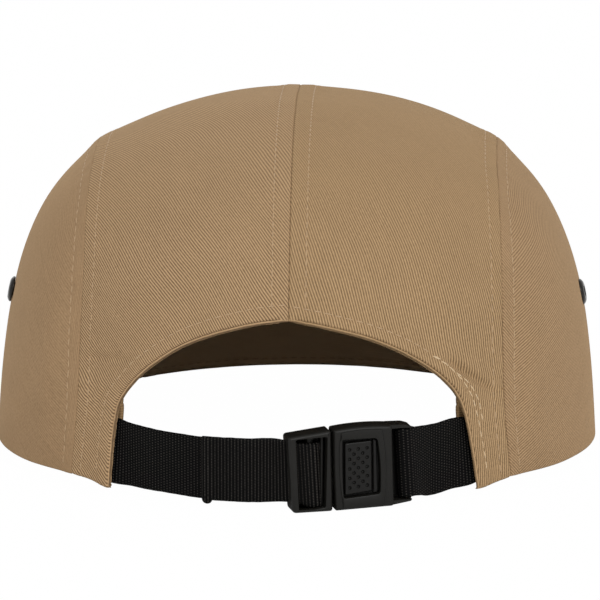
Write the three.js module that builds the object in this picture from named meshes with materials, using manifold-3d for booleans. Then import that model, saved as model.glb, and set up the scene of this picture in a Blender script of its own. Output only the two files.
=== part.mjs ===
// Jockey cap: five cloth panels, a short arched brim and a webbing strap with a side-release buckle.
// Millimetres, +Z up, brim towards -Y, rear opening towards +Y. The cap rests on both sides of the
// brim and on the lower edge of the buckle; the origin is the middle of its footprint.

import * as THREE from "three";
import { ExtrudeGeometry, LatheGeometry, Vector2 } from "three";
import { mergeVertices } from "three/addons/utils/BufferGeometryUtils.js";
import Module from "manifold-3d";

const wasm = await Module();
wasm.setup();

// crown
const CROWN_HALF_WIDTH = 93.2; // at the rim, outside
const CROWN_REAR = 102; // from the crown's middle to the rear rim
const CROWN_FRONT = 101; // from the crown's middle to the front rim
const CROWN_Y = 31.7; // the crown's middle in the cap's frame
const RIM_SIDE_Z = 3.9; // bottom edge of the cloth at the sides
const RIM_REAR_RISE = 0.4; // at the rear side seams, above the side
const RIM_FRONT_RISE = 5.4; // at the front, above the side
const SEAM_REAR_Y = 70.5; // the side seams end here at the rim
const SEAM_FRONT_Y = -71;
const SIDE_LEAN = 0.22; // even lean of the side panels, as a share of their bulge
const SIDE_TURN = 4.4; // how late the side panels turn in to the top
const CLOTH = 1.5; // panel cloth with its seam allowance
const GAP = 0.3; // between neighbouring pieces
const SEAM_INSET = 0.2; // from a seam line to a panel edge

// sections over the crown from the front rim to the rear rim, each an arc from side seam to side seam
const SECTIONS = [
  { centreY: -101, centreZ: 9.3, seamX: 65.5, seamY: SEAM_FRONT_Y, seamZ: 6.7, arc: 45 },
  { centreY: -100, centreZ: 38.7, seamX: 65, seamY: -69, seamZ: 33.7, arc: 43 },
  { centreY: -95, centreZ: 68.7, seamX: 63.5, seamY: -63, seamZ: 62.7, arc: 38 },
  { centreY: -84, centreZ: 90.7, seamX: 62.5, seamY: -52, seamZ: 81.2, arc: 32 },
  { centreY: -55, centreZ: 104, seamX: 62, seamY: -33, seamZ: 90.6, arc: 30 },
  { centreY: -10, centreZ: 108.9, seamX: 61.5, seamY: -5, seamZ: 94.4, arc: 29 },
  { centreY: 35, centreZ: 104.9, seamX: 61.5, seamY: 26, seamZ: 90.6, arc: 30 },
  { centreY: 70, centreZ: 88.7, seamX: 62.3, seamY: 49, seamZ: 77.7, arc: 34 },
  { centreY: 91, centreZ: 60.7, seamX: 63.2, seamY: 62, seamZ: 51.7, arc: 39 },
  { centreY: 99, centreZ: 31.7, seamX: 64.4, seamY: 68, seamZ: 27.7, arc: 43 },
  { centreY: 102, centreZ: 3.1, seamX: 65.7, seamY: SEAM_REAR_Y, seamZ: 4.3, arc: 47 },
];

// where the front panel meets the back panels, and the grid rows along a side seam
const FRONT_SEAM = 0.25; // share of the way over the crown
const SHOULDER_FRONT = 0.2;
const SHOULDER_REAR = 0.8;
const END_ROWS = 12; // rim to shoulder
const TOP_ROWS = 24; // shoulder to shoulder
const HALF_COLUMNS = 9; // centre seam to side seam

// rear opening: share of the half width, and millimetres of cloth above the rim
const ARCH = [
  { across: 0, up: 52.3 },
  { across: 0.15, up: 51.2 },
  { across: 0.3, up: 48.9 },
  { across: 0.43, up: 46.2 },
  { across: 0.53, up: 42.9 },
  { across: 0.61, up: 39.2 },
  { across: 0.68, up: 34.7 },
  { across: 0.725, up: 30 },
  { across: 0.752, up: 23.2 },
  { across: 0.775, up: 11.8 },
  { across: 0.79, up: 0 },
];
const ARCH_ROWS = 13; // rows of a back panel that end on the arch

// sweatband
const BAND_CLOTH = 1.2;
const BAND_GAP = 0.9; // to the panels, so that their flat faces stay clear of each other
const BAND_HEIGHT = 27;
const BAND_DROP = 3.4; // below the front rim, behind the brim's inner edge
const BAND_END_STEP = 1.9; // the ends step inwards over the straps

// brim
const BRIM_THICKNESS = 3;
const BRIM_FRONT_Y = -168.6;
const BRIM_HALF_WIDTH = 84;
const BRIM_WIDEST_Y = -98;
const BRIM_CORNER = 2.5; // superellipse power of the outer edge
const BRIM_ARCH = 0.000817; // drop in mm for each square mm away from the middle
const BRIM_SLOPE = 0.019; // rise towards the rear
const BRIM_TEMPLE_ANGLE = 57; // degrees around the rim from the front to a brim end
const BRIM_TIP = 1.8; // width of a brim end
const BRIM_TIP_THICKNESS = 1.6;
const BRIM_COLUMNS = 30;
const BRIM_BANDS = 5;

// straps: webbing on a circular curve across the opening
const WEB_HEIGHT = 20;
const WEB = 1.4;
const STRAP_RADIUS = 75;
const STRAP_REAR = 98.6;

// buckle, in its own axes: along the strap, up, out of the crown
const BUCKLE_X = -17.5;
const BUCKLE_Z = 13.3;
const BUCKLE_YAW = 13.5; // degrees, follows the strap's curve
const BUCKLE_ROLL = 3.3; // degrees, the end away from the adjuster is higher
const BUCKLE_FRONT = 4.2;
const BUCKLE_BACK = -3.6;
const FRAME = { start: -18.9, end: -5.4, half: 12.3, window: [-15.6, -6.8], bar: -11.2, barHalf: 1.1 };
const BODY = { start: -4.6, end: 13.6, slotEnd: 19.2, half: 12.9, endHalf: 10.9, slotBar: 17.4, barHalf: 1.2 };
const POCKET = { start: -1.9, end: 9.6, half: 8.9, floor: 1.2 };
const BUTTON = { start: -1.1, end: 7.6, half: 8, top: 3.5 };

// eyelet through each side panel
const EYELET = { y: 8, z: 49.4, outer: 4, rim: 3.2, bore: 1.6, barrel: 2.4, proud: 1.5 };

const radians = THREE.MathUtils.degToRad;
const mix = THREE.MathUtils.lerp;
const point = (x, y, z) => new THREE.Vector3(x, y, z);

// natural cubic spline through the rows of a table, over the chord length of two of its columns
function spline(rows, chordA, chordB, scaleA = 1) {
  const at = [0];
  for (let i = 1; i < rows.length; i++) {
    const run = (rows[i][chordA] - rows[i - 1][chordA]) * scaleA;
    at.push(at[i - 1] + Math.hypot(run, rows[i][chordB] - rows[i - 1][chordB]));
  }
  const length = at[at.length - 1];
  const knots = at.map((a) => a / length);
  const bends = {};
  for (const name of Object.keys(rows[0])) bends[name] = bendOf(knots, rows.map((row) => row[name]));
  const read = (t) => {
    let i = 0;
    while (i < knots.length - 2 && t > knots[i + 1]) i++;
    const h = knots[i + 1] - knots[i];
    const b = (t - knots[i]) / h;
    const a = 1 - b;
    const out = {};
    for (const name of Object.keys(rows[0])) {
      const m = bends[name];
      out[name] = a * rows[i][name] + b * rows[i + 1][name]
        + ((a ** 3 - a) * m[i] + (b ** 3 - b) * m[i + 1]) * h * h / 6;
    }
    return out;
  };
  return { read, knots, length };
}

function bendOf(knots, values) {
  const n = knots.length;
  const upper = new Array(n).fill(0);
  const right = new Array(n).fill(0);
  for (let i = 1; i < n - 1; i++) {
    const before = knots[i] - knots[i - 1];
    const after = knots[i + 1] - knots[i];
    const change = 6 * ((values[i + 1] - values[i]) / after - (values[i] - values[i - 1]) / before);
    const pivot = 2 * (before + after) - before * upper[i - 1];
    upper[i] = after / pivot;
    right[i] = (change - before * right[i - 1]) / pivot;
  }
  const bends = new Array(n).fill(0);
  for (let i = n - 2; i > 0; i--) bends[i] = right[i] - upper[i] * bends[i + 1];
  return bends;
}

// crown surface
const over = spline(SECTIONS, "centreY", "centreZ");
const arch = spline(ARCH, "across", "up", 66);

// outer face between the side seams: u -1..1 across, s 0..1 from the front rim to the rear rim
function strip(u, s) {
  const row = over.read(s);
  const a = radians(row.arc);
  const bulge = (Math.cos(u * a) - Math.cos(a)) / (1 - Math.cos(a));
  return point(
    row.seamX * Math.sin(u * a) / Math.sin(a),
    mix(row.seamY, row.centreY, bulge),
    mix(row.seamZ, row.centreZ, bulge),
  );
}

const SEAM_SAMPLES = 600;
const seamLine = Array.from({ length: SEAM_SAMPLES + 1 }, (_, i) => strip(1, i / SEAM_SAMPLES));

function seamAtY(y) {
  let i = 0;
  while (i < SEAM_SAMPLES - 1 && seamLine[i + 1].y < y) i++;
  const share = (y - seamLine[i].y) / (seamLine[i + 1].y - seamLine[i].y);
  return seamLine[i].clone().lerp(seamLine[i + 1], THREE.MathUtils.clamp(share, 0, 1));
}

function rimX(y) {
  return CROWN_HALF_WIDTH * Math.sqrt(1 - (y / (y > 0 ? CROWN_REAR : CROWN_FRONT)) ** 2);
}

function rimZ(y) {
  return RIM_SIDE_Z + (y > 0 ? RIM_REAR_RISE * (y / SEAM_REAR_Y) ** 2 : RIM_FRONT_RISE * (y / CROWN_FRONT) ** 2);
}

// outer face of the +X side panel over a point (y, z)
function sideX(y, z) {
  const seam = seamAtY(y);
  const f = THREE.MathUtils.clamp((z - rimZ(y)) / (seam.z - rimZ(y)), 0, 1);
  const turn = SIDE_LEAN * f + (1 - SIDE_LEAN) * f ** SIDE_TURN;
  return mix(rimX(y), seam.x, turn);
}

// direction through the cloth, away from the crown's middle, shared by neighbouring panels
function outward(p) {
  const lift = Math.max(0, p.z - 20);
  return point(p.x / CROWN_HALF_WIDTH ** 2, p.y / CROWN_REAR ** 2, lift / 88 ** 2).normalize();
}

const inset = (p, depth) => p.clone().addScaledVector(outward(p), -depth);

// a closed body between two grids of points, outer[row][column] and inner[row][column]
function slab(outer, inner) {
  const rows = outer.length;
  const columns = outer[0].length;
  const positions = [];
  for (const grid of [outer, inner]) for (const row of grid) for (const p of row) positions.push(p.x, p.y, p.z);
  const index = [];
  const at = (layer, r, c) => layer * rows * columns + r * columns + c;
  const quad = (a, b, c, d) => index.push(a, b, c, a, c, d);
  for (let r = 0; r < rows - 1; r++) {
    for (let c = 0; c < columns - 1; c++) {
      quad(at(0, r, c), at(0, r, c + 1), at(0, r + 1, c + 1), at(0, r + 1, c));
      quad(at(1, r, c), at(1, r + 1, c), at(1, r + 1, c + 1), at(1, r, c + 1));
    }
  }
  for (let c = 0; c < columns - 1; c++) {
    quad(at(0, 0, c + 1), at(0, 0, c), at(1, 0, c), at(1, 0, c + 1));
    quad(at(0, rows - 1, c), at(0, rows - 1, c + 1), at(1, rows - 1, c + 1), at(1, rows - 1, c));
  }
  for (let r = 0; r < rows - 1; r++) {
    quad(at(0, r, 0), at(0, r + 1, 0), at(1, r + 1, 0), at(1, r, 0));
    quad(at(0, r + 1, columns - 1), at(0, r, columns - 1), at(1, r, columns - 1), at(1, r + 1, columns - 1));
  }
  const geometry = new THREE.BufferGeometry();
  geometry.setAttribute("position", new THREE.Float32BufferAttribute(positions, 3));
  geometry.setIndex(index);
  return faceOut(geometry);
}

function signedVolume(geometry) {
  const p = geometry.attributes.position;
  const index = geometry.index.array;
  const [a, b, c] = [point(), point(), point()];
  let volume = 0;
  for (let i = 0; i < index.length; i += 3) {
    a.fromBufferAttribute(p, index[i]);
    b.fromBufferAttribute(p, index[i + 1]);
    c.fromBufferAttribute(p, index[i + 2]);
    volume += a.dot(b.cross(c)) / 6;
  }
  return volume;
}

function faceOut(geometry) {
  if (signedVolume(geometry) < 0) {
    const index = geometry.index.array;
    for (let i = 0; i < index.length; i += 3) [index[i + 1], index[i + 2]] = [index[i + 2], index[i + 1]];
  }
  return geometry;
}

function mirrorX(geometry) {
  const copy = geometry.clone();
  const p = copy.attributes.position;
  for (let i = 0; i < p.count; i++) p.setX(i, -p.getX(i));
  return faceOut(copy);
}

const grid = (rows, columns, place) =>
  Array.from({ length: rows + 1 }, (_, r) => Array.from({ length: columns + 1 }, (_, c) => place(r, c)));

const cloth = (outer, depth) => slab(outer, outer.map((row) => row.map((p) => inset(p, depth))));

// side seam position of a grid row counted from the front rim
function seamShare(row) {
  if (row <= END_ROWS) return SHOULDER_FRONT * row / END_ROWS;
  if (row <= END_ROWS + TOP_ROWS) return mix(SHOULDER_FRONT, SHOULDER_REAR, (row - END_ROWS) / TOP_ROWS);
  return mix(SHOULDER_REAR, 1, (row - END_ROWS - TOP_ROWS) / END_ROWS);
}

const SEAM_ROWS = 2 * END_ROWS + TOP_ROWS;
const FRONT_ROWS = END_ROWS + Math.round(TOP_ROWS * (FRONT_SEAM - SHOULDER_FRONT) / (SHOULDER_REAR - SHOULDER_FRONT));
const SEAM_SHARE = SEAM_INSET / over.length;
const edgeU = (s) => 1 - SEAM_INSET / over.read(s).seamX;

function frontPanel() {
  const outer = grid(FRONT_ROWS, 2 * HALF_COLUMNS, (r, c) => {
    const s = seamShare(r) - (r === FRONT_ROWS ? SEAM_SHARE : 0);
    return strip((c / HALF_COLUMNS - 1) * edgeU(s), s);
  });
  return cloth(outer, CLOTH);
}

// rows run from the centre seam, and lower down from the arch, to the side seam
function backPanel() {
  const rows = SEAM_ROWS - FRONT_ROWS;
  const onCentre = rows - ARCH_ROWS;
  const apex = 1 - ARCH[0].up / over.length;
  const startU = SEAM_INSET / 62;
  const outer = grid(rows, HALF_COLUMNS, (r, c) => {
    let from;
    if (r <= onCentre) from = { u: startU, s: mix(FRONT_SEAM, apex, r / onCentre) };
    else {
      const edge = arch.read((r - onCentre) / ARCH_ROWS);
      from = { u: edge.across, s: 1 - edge.up / over.length };
    }
    const s = seamShare(FRONT_ROWS + r);
    const share = c / HALF_COLUMNS;
    const drop = r === 0 ? SEAM_SHARE : 0;
    return strip(mix(from.u, edgeU(s), share), mix(from.s, s, share) + drop);
  });
  return cloth(outer, CLOTH);
}

// the side panel fills the outline rim, front seam, top seam, rear seam
function sidePanel() {
  const rim = (a) => {
    const y = mix(SEAM_FRONT_Y, SEAM_REAR_Y, a);
    return { y, z: rimZ(y) };
  };
  const seam = (s) => strip(1, s);
  const front = (b) => seam(SHOULDER_FRONT * b);
  const rear = (b) => seam(mix(1, SHOULDER_REAR, b));
  const top = (a) => seam(mix(SHOULDER_FRONT, SHOULDER_REAR, a));
  const blend = (a, b, key) =>
    mix(rim(a)[key], top(a)[key], b) + mix(front(b)[key], rear(b)[key], a)
    - mix(mix(rim(0)[key], rim(1)[key], a), mix(top(0)[key], top(1)[key], a), b);
  const outer = grid(END_ROWS, TOP_ROWS, (r, c) => {
    const b = r / END_ROWS;
    const a = c / TOP_ROWS;
    let p = point(0, blend(a, b, "y"), blend(a, b, "z"));
    const onSeam = r === END_ROWS ? top(a) : c === 0 ? front(b) : c === TOP_ROWS ? rear(b) : null;
    if (onSeam) p = onSeam.clone();
    else p.x = sideX(p.y, p.z);
    if (onSeam) {
      const side = c === 0 ? 1 : c === TOP_ROWS ? -1 : 0;
      p.y += side * SEAM_INSET;
      if (r === END_ROWS) p.z -= SEAM_INSET;
      if (r === END_ROWS && Math.abs(p.y) > 30) p.y -= Math.sign(p.y) * SEAM_INSET;
    }
    return p;
  });
  return cloth(outer, CLOTH);
}

// rim stations for the sweatband from the +X foot of the opening round the front to the -X foot
function bandStations() {
  const legU = [0.78, 0.84, 0.9, 0.965];
  const sideY = Array.from({ length: 13 }, (_, i) => mix(66, -66, i / 12));
  const frontU = Array.from({ length: 15 }, (_, i) => mix(0.96, -0.96, i / 14));
  const rear = (sign) => (u) => (h) => strip(sign * u, 1 - h / over.length);
  const side = (sign) => (y) => (h) => {
    const z = rimZ(y) + h;
    return point(sign * sideX(y, z), y, z);
  };
  const front = (u) => (h) => strip(u, Math.max(h, 0) / over.length).add(point(0, 0, Math.min(h, 0)));
  return [
    ...legU.map(rear(1)), ...sideY.map(side(1)), ...frontU.map(front),
    ...sideY.reverse().map(side(-1)), ...legU.reverse().map(rear(-1)),
  ];
}

function sweatband() {
  const stations = bandStations();
  const heights = [0, 0.33, 0.67, 1];
  const depthAt = (i) => {
    const fromEnd = Math.min(i, stations.length - 1 - i);
    return CLOTH + BAND_GAP + BAND_END_STEP * THREE.MathUtils.clamp((5.5 - fromEnd) / 2.5, 0, 1);
  };
  const place = (extra) => stations.map((station, i) => heights.map((share) => {
    const behindBrim = THREE.MathUtils.smoothstep(-station(0).y, 40, 62);
    const bottom = mix(0.6, -BAND_DROP, behindBrim);
    return inset(station(mix(bottom, BAND_HEIGHT, share)), depthAt(i) + extra);
  }));
  return slab(place(0), place(BAND_CLOTH));
}

function brimTopZ(x, y) {
  const middle = rimZ(-CROWN_FRONT) - GAP - 0.1;
  return middle - BRIM_ARCH * x * x + BRIM_SLOPE * (y + CROWN_FRONT);
}

// plan of the brim: c -1..1 from end to end, b 0..1 from the crown to the outer edge
function brimPlan(c, b) {
  const angle = radians(BRIM_TEMPLE_ANGLE) * c;
  const innerScale = 1 - CLOTH / CROWN_HALF_WIDTH;
  const inner = [
    CROWN_HALF_WIDTH * innerScale * Math.sin(angle),
    -CROWN_FRONT * innerScale * Math.cos(angle),
  ];
  const templeY = -CROWN_FRONT * innerScale * Math.cos(radians(BRIM_TEMPLE_ANGLE));
  const templeX = CROWN_HALF_WIDTH * innerScale * Math.sin(radians(BRIM_TEMPLE_ANGLE)) + BRIM_TIP;
  const straight = 0.82; // beyond this share the edge runs back to the temple
  let outer;
  if (Math.abs(c) <= straight) {
    const t = (Math.PI / 2) * Math.abs(c) / straight;
    outer = [
      Math.sign(c) * BRIM_HALF_WIDTH * Math.sin(t) ** (2 / BRIM_CORNER),
      BRIM_WIDEST_Y + (BRIM_FRONT_Y - BRIM_WIDEST_Y) * Math.cos(t) ** (2 / BRIM_CORNER),
    ];
  } else {
    const t = (Math.abs(c) - straight) / (1 - straight);
    outer = [Math.sign(c) * mix(BRIM_HALF_WIDTH, templeX, t * t), mix(BRIM_WIDEST_Y, templeY, t)];
  }
  return [mix(inner[0], outer[0], b), mix(inner[1], outer[1], b)];
}

function brim() {
  const level = (share) => grid(BRIM_BANDS, BRIM_COLUMNS, (r, c) => {
    const across = 2 * c / BRIM_COLUMNS - 1;
    const [x, y] = brimPlan(across, r / BRIM_BANDS);
    const nearEnd = THREE.MathUtils.smoothstep(Math.abs(across), 0.8, 1);
    return point(x, y, brimTopZ(x, y) - share * mix(BRIM_THICKNESS, BRIM_TIP_THICKNESS, nearEnd));
  });
  return slab(level(0), level(1));
}

// webbing swept through stations that each have a low and a high edge point
function ribbon(stations) {
  const middle = stations.map(([low, high]) => low.clone().add(high).multiplyScalar(0.5));
  const side = middle.map((p, i) => {
    const run = middle[Math.min(i + 1, middle.length - 1)].clone().sub(middle[Math.max(i - 1, 0)]);
    const up = stations[i][1].clone().sub(stations[i][0]);
    return run.cross(up).normalize();
  });
  const face = (shift) => stations.map((edges, i) => edges.map((p) => p.clone().addScaledVector(side[i], shift)));
  return slab(face(WEB / 2), face(-WEB / 2));
}

const halfWeb = [-WEB_HEIGHT / 2, WEB_HEIGHT / 2];

// a station on the straps' plan curve, with an offset out of the crown
function onCurve(x, out, z) {
  const angle = Math.asin(x / STRAP_RADIUS);
  const radius = STRAP_RADIUS + out;
  return halfWeb.map((up) =>
    point(radius * Math.sin(angle), STRAP_REAR - STRAP_RADIUS + radius * Math.cos(angle), z + up));
}

// a station between the leg of a back panel and the sweatband
function inLeg(u) {
  return [0.2, 0.2 + WEB_HEIGHT].map((up) => inset(strip(u, 1 - up / over.length), CLOTH + GAP + 0.1 + WEB / 2));
}

// buckle axes: along the strap towards -X, up, out of the crown
function buckleAxes() {
  const yaw = radians(BUCKLE_YAW);
  const roll = radians(BUCKLE_ROLL);
  const out = point(-Math.sin(yaw), Math.cos(yaw), 0);
  const along = point(-Math.cos(yaw) * Math.cos(roll), -Math.sin(yaw) * Math.cos(roll), Math.sin(roll));
  const up = out.clone().cross(along);
  const angle = Math.asin(BUCKLE_X / STRAP_RADIUS);
  const matrix = new THREE.Matrix4().makeBasis(along, up, out);
  return matrix.setPosition(BUCKLE_X, STRAP_REAR - STRAP_RADIUS * (1 - Math.cos(angle)), BUCKLE_Z);
}

const toBuckle = buckleAxes();

const smooth = (from, to, count, place) =>
  Array.from({ length: count + 1 }, (_, i) => place(mix(from, to, i / count)));

const inBuckle = (along, out) => halfWeb.map((up) => point(along, up, out).applyMatrix4(toBuckle));

const aroundBar = (bar, turn, from, to, count) => smooth(from, to, count, (degrees) =>
  inBuckle(bar + turn * Math.cos(radians(degrees)), turn * Math.sin(radians(degrees))));

// the free end goes behind the frame's border, round its bar and back in front of itself
function leftStrap() {
  const turn = FRAME.barHalf + GAP + 0.1 + WEB / 2;
  const strand = WEB / 2 + GAP / 2;
  return ribbon([
    ...smooth(0.93, 0.755, 3, inLeg),
    ...smooth(45, 6, 8, (x) => onCurve(x, -strand * (1 - x / 60), mix(12, 13.9, x / 50))),
    inBuckle(-15.5, -strand - 0.4),
    ...aroundBar(FRAME.bar, turn, -100, 100, 8),
    inBuckle(-15.5, strand + 0.4),
    ...smooth(5, 25.5, 5, (x) => onCurve(x, strand * (1 + x / 60), 11.8)),
  ]);
}

// the fixed end loops round the slot bar and is sewn down behind itself
function rightStrap() {
  const turn = BODY.barHalf + GAP + 0.1 + WEB / 2;
  const height = (x) => mix(12.9, 14.4, (-x - 36) / 14);
  return ribbon([
    ...smooth(-0.93, -0.755, 3, inLeg),
    ...smooth(-45.5, -41, 1, (x) => onCurve(x, 0.9 * (50 + x) / 9, height(x))),
    ...aroundBar(BODY.slotBar, turn, 50, 275, 9),
    ...smooth(-40.5, -48, 2, (x) => onCurve(x, -1.1 - 0.12 * (x + 40), height(x))),
  ]);
}

// booleans
function solid(geometry) {
  const bare = geometry.clone();
  bare.deleteAttribute("normal");
  bare.deleteAttribute("uv");
  const merged = mergeVertices(bare, 1e-4);
  const mesh = new wasm.Mesh({
    numProp: 3,
    vertProperties: Float32Array.from(merged.attributes.position.array),
    triVerts: Uint32Array.from(merged.index.array),
  });
  return new wasm.Manifold(mesh);
}

function fromSolid(body) {
  const mesh = body.getMesh();
  const geometry = new THREE.BufferGeometry();
  geometry.setAttribute("position", new THREE.Float32BufferAttribute(mesh.vertProperties, 3));
  geometry.setIndex(Array.from(mesh.triVerts));
  return geometry;
}

// a block in buckle axes from [along, up] corners, between two depths
function block(corners, back, front) {
  const shape = new THREE.Shape(corners.map(([a, b]) => new Vector2(a, b)));
  const geometry = new ExtrudeGeometry(shape, { depth: front - back, bevelEnabled: false, steps: 1 });
  return solid(geometry.translate(0, 0, back));
}

const rectangle = (start, end, half) => [[start, -half], [end, -half], [end, half], [start, half]];

const cutCorners = (start, end, startHalf, endHalf, cut) => [
  [start + cut, -startHalf], [end - cut, -endHalf], [end, cut - endHalf], [end, endHalf - cut],
  [end - cut, endHalf], [start + cut, startHalf], [start, startHalf - cut], [start, cut - startHalf],
];

function placed(body) {
  return faceOut(fromSolid(body).applyMatrix4(toBuckle));
}

const WEB_PASS = WEB_HEIGHT / 2 + GAP + 0.2;

const roundBar = (along, radius) =>
  solid(new THREE.CylinderGeometry(radius, radius, 2 * WEB_PASS + 2, 12).translate(along, 0, 0));

function adjusterFrame() {
  const border = WEB + GAP + FRAME.barHalf - 0.6;
  return placed(block(cutCorners(FRAME.start, FRAME.end, FRAME.half, FRAME.half, 1.2), BUCKLE_BACK, BUCKLE_FRONT)
    .subtract(block(rectangle(...FRAME.window, WEB_PASS), BUCKLE_BACK - 1, BUCKLE_FRONT + 1))
    .subtract(block(rectangle(FRAME.start - 1, FRAME.window[0] + 1, WEB_PASS), BUCKLE_BACK - 1, border))
    .add(roundBar(FRAME.bar, FRAME.barHalf)));
}

function buckleBody() {
  return placed(block(cutCorners(BODY.start, BODY.end, BODY.half, BODY.half - 0.6, 1.4), BUCKLE_BACK, BUCKLE_FRONT)
    .add(block(cutCorners(BODY.end - 2, BODY.slotEnd, BODY.half - 0.8, BODY.endHalf + 0.9, 1), -2.2, 2.6))
    .subtract(block(rectangle(BODY.end, BODY.slotEnd + 1, WEB_PASS), -5, 5))
    .add(roundBar(BODY.slotBar, BODY.barHalf))
    .subtract(block(rectangle(POCKET.start, POCKET.end, POCKET.half), POCKET.floor, BUCKLE_FRONT + 1)));
}

function buckleButton() {
  return placed(block(cutCorners(BUTTON.start, BUTTON.end, BUTTON.half, BUTTON.half, 0.8),
    POCKET.floor + GAP, BUTTON.top));
}

// eyelet: a turned spool with a flange on both faces of the cloth
function eyeletMatrix() {
  const at = point(sideX(EYELET.y, EYELET.z), EYELET.y, EYELET.z);
  const step = 3;
  const alongY = point(sideX(EYELET.y + step, EYELET.z), EYELET.y + step, EYELET.z).sub(at);
  const alongZ = point(sideX(EYELET.y, EYELET.z + step), EYELET.y, EYELET.z + step).sub(at);
  const normal = alongY.cross(alongZ).normalize();
  const turn = new THREE.Quaternion().setFromUnitVectors(point(0, 1, 0), normal);
  return new THREE.Matrix4().compose(at, turn, point(1, 1, 1));
}

function eyelet() {
  const e = EYELET;
  const face = GAP + 0.1; // underside of the outer flange
  const inside = -CLOTH - GAP - 0.15;
  const profile = [
    [e.bore, inside - 0.9], [e.outer - 0.4, inside - 0.9], [e.outer - 0.4, inside], [e.barrel, inside],
    [e.barrel, face], [e.outer, face], [e.outer, face + 0.4], [e.rim, e.proud], [e.bore + 0.7, e.proud],
    [e.bore, e.proud - 0.5], [e.bore, inside - 0.9],
  ].map(([r, h]) => new Vector2(r, h));
  const geometry = fromSolid(solid(new LatheGeometry(profile, 20)));
  return faceOut(geometry.applyMatrix4(eyeletMatrix()));
}

function sidePanelWithHole() {
  const radius = EYELET.barrel + GAP;
  const profile = [[0, -6], [radius, -6], [radius, 6], [0, 6]].map(([r, h]) => new Vector2(r, h));
  const drill = faceOut(fromSolid(solid(new LatheGeometry(profile, 20))).applyMatrix4(eyeletMatrix()));
  return faceOut(fromSolid(solid(sidePanel()).subtract(solid(drill))));
}

// materials
const khaki = { color: "#a38665", roughness: 0.92, metalness: 0 };
const webbing = { color: "#1c1a18", roughness: 0.85, metalness: 0 };
const plastic = { color: "#23221f", roughness: 0.5, metalness: 0 };
const blackMetal = { color: "#1a1918", roughness: 0.35, metalness: 0.9 };

const group = new THREE.Group();
group.name = "jockey_cap";

function addPiece(name, geometry, look) {
  geometry.translate(0, CROWN_Y, 0);
  geometry.computeVertexNormals();
  const mesh = new THREE.Mesh(geometry, new THREE.MeshStandardMaterial(look));
  mesh.name = name;
  group.add(mesh);
}

const left = { back: backPanel(), side: sidePanelWithHole(), eyelet: eyelet() };

addPiece("front_panel", frontPanel(), khaki);
addPiece("back_panel_right", mirrorX(left.back), khaki);
addPiece("back_panel_left", left.back, khaki);
addPiece("side_panel_right", mirrorX(left.side), khaki);
addPiece("side_panel_left", left.side, khaki);
addPiece("sweatband", sweatband(), khaki);
addPiece("brim", brim(), khaki);
addPiece("strap_left", leftStrap(), webbing);
addPiece("strap_right", rightStrap(), webbing);
addPiece("buckle_frame", adjusterFrame(), plastic);
addPiece("buckle_body", buckleBody(), plastic);
addPiece("buckle_button", buckleButton(), plastic);
addPiece("eyelet_right", mirrorX(left.eyelet), blackMetal);
addPiece("eyelet_left", left.eyelet, blackMetal);

export default group;
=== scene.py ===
import math

import bpy
import bmesh
import numpy as np
from mathutils import Matrix, Vector, noise
from mathutils.bvhtree import BVHTree


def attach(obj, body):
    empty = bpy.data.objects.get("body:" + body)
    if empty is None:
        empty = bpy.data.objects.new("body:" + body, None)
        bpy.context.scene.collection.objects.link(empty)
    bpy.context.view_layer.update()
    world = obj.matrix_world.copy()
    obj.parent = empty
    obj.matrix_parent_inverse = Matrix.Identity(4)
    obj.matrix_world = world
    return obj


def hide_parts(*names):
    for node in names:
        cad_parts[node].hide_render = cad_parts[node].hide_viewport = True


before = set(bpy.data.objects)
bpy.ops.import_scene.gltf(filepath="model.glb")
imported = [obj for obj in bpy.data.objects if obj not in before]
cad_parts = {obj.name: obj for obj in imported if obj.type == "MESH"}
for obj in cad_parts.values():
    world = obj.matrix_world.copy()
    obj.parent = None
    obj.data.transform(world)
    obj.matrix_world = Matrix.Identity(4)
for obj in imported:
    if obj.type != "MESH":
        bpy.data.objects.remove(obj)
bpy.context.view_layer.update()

mm = 0.001

view = {
    "azimuth": 1.55, "elevation": 10.2,      # degrees, from behind the cap
    "distance": 1600.0, "target": (-0.84, 31.7, 44.85),
    "lens": 308.2, "sensor": 36.0,
}

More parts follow.
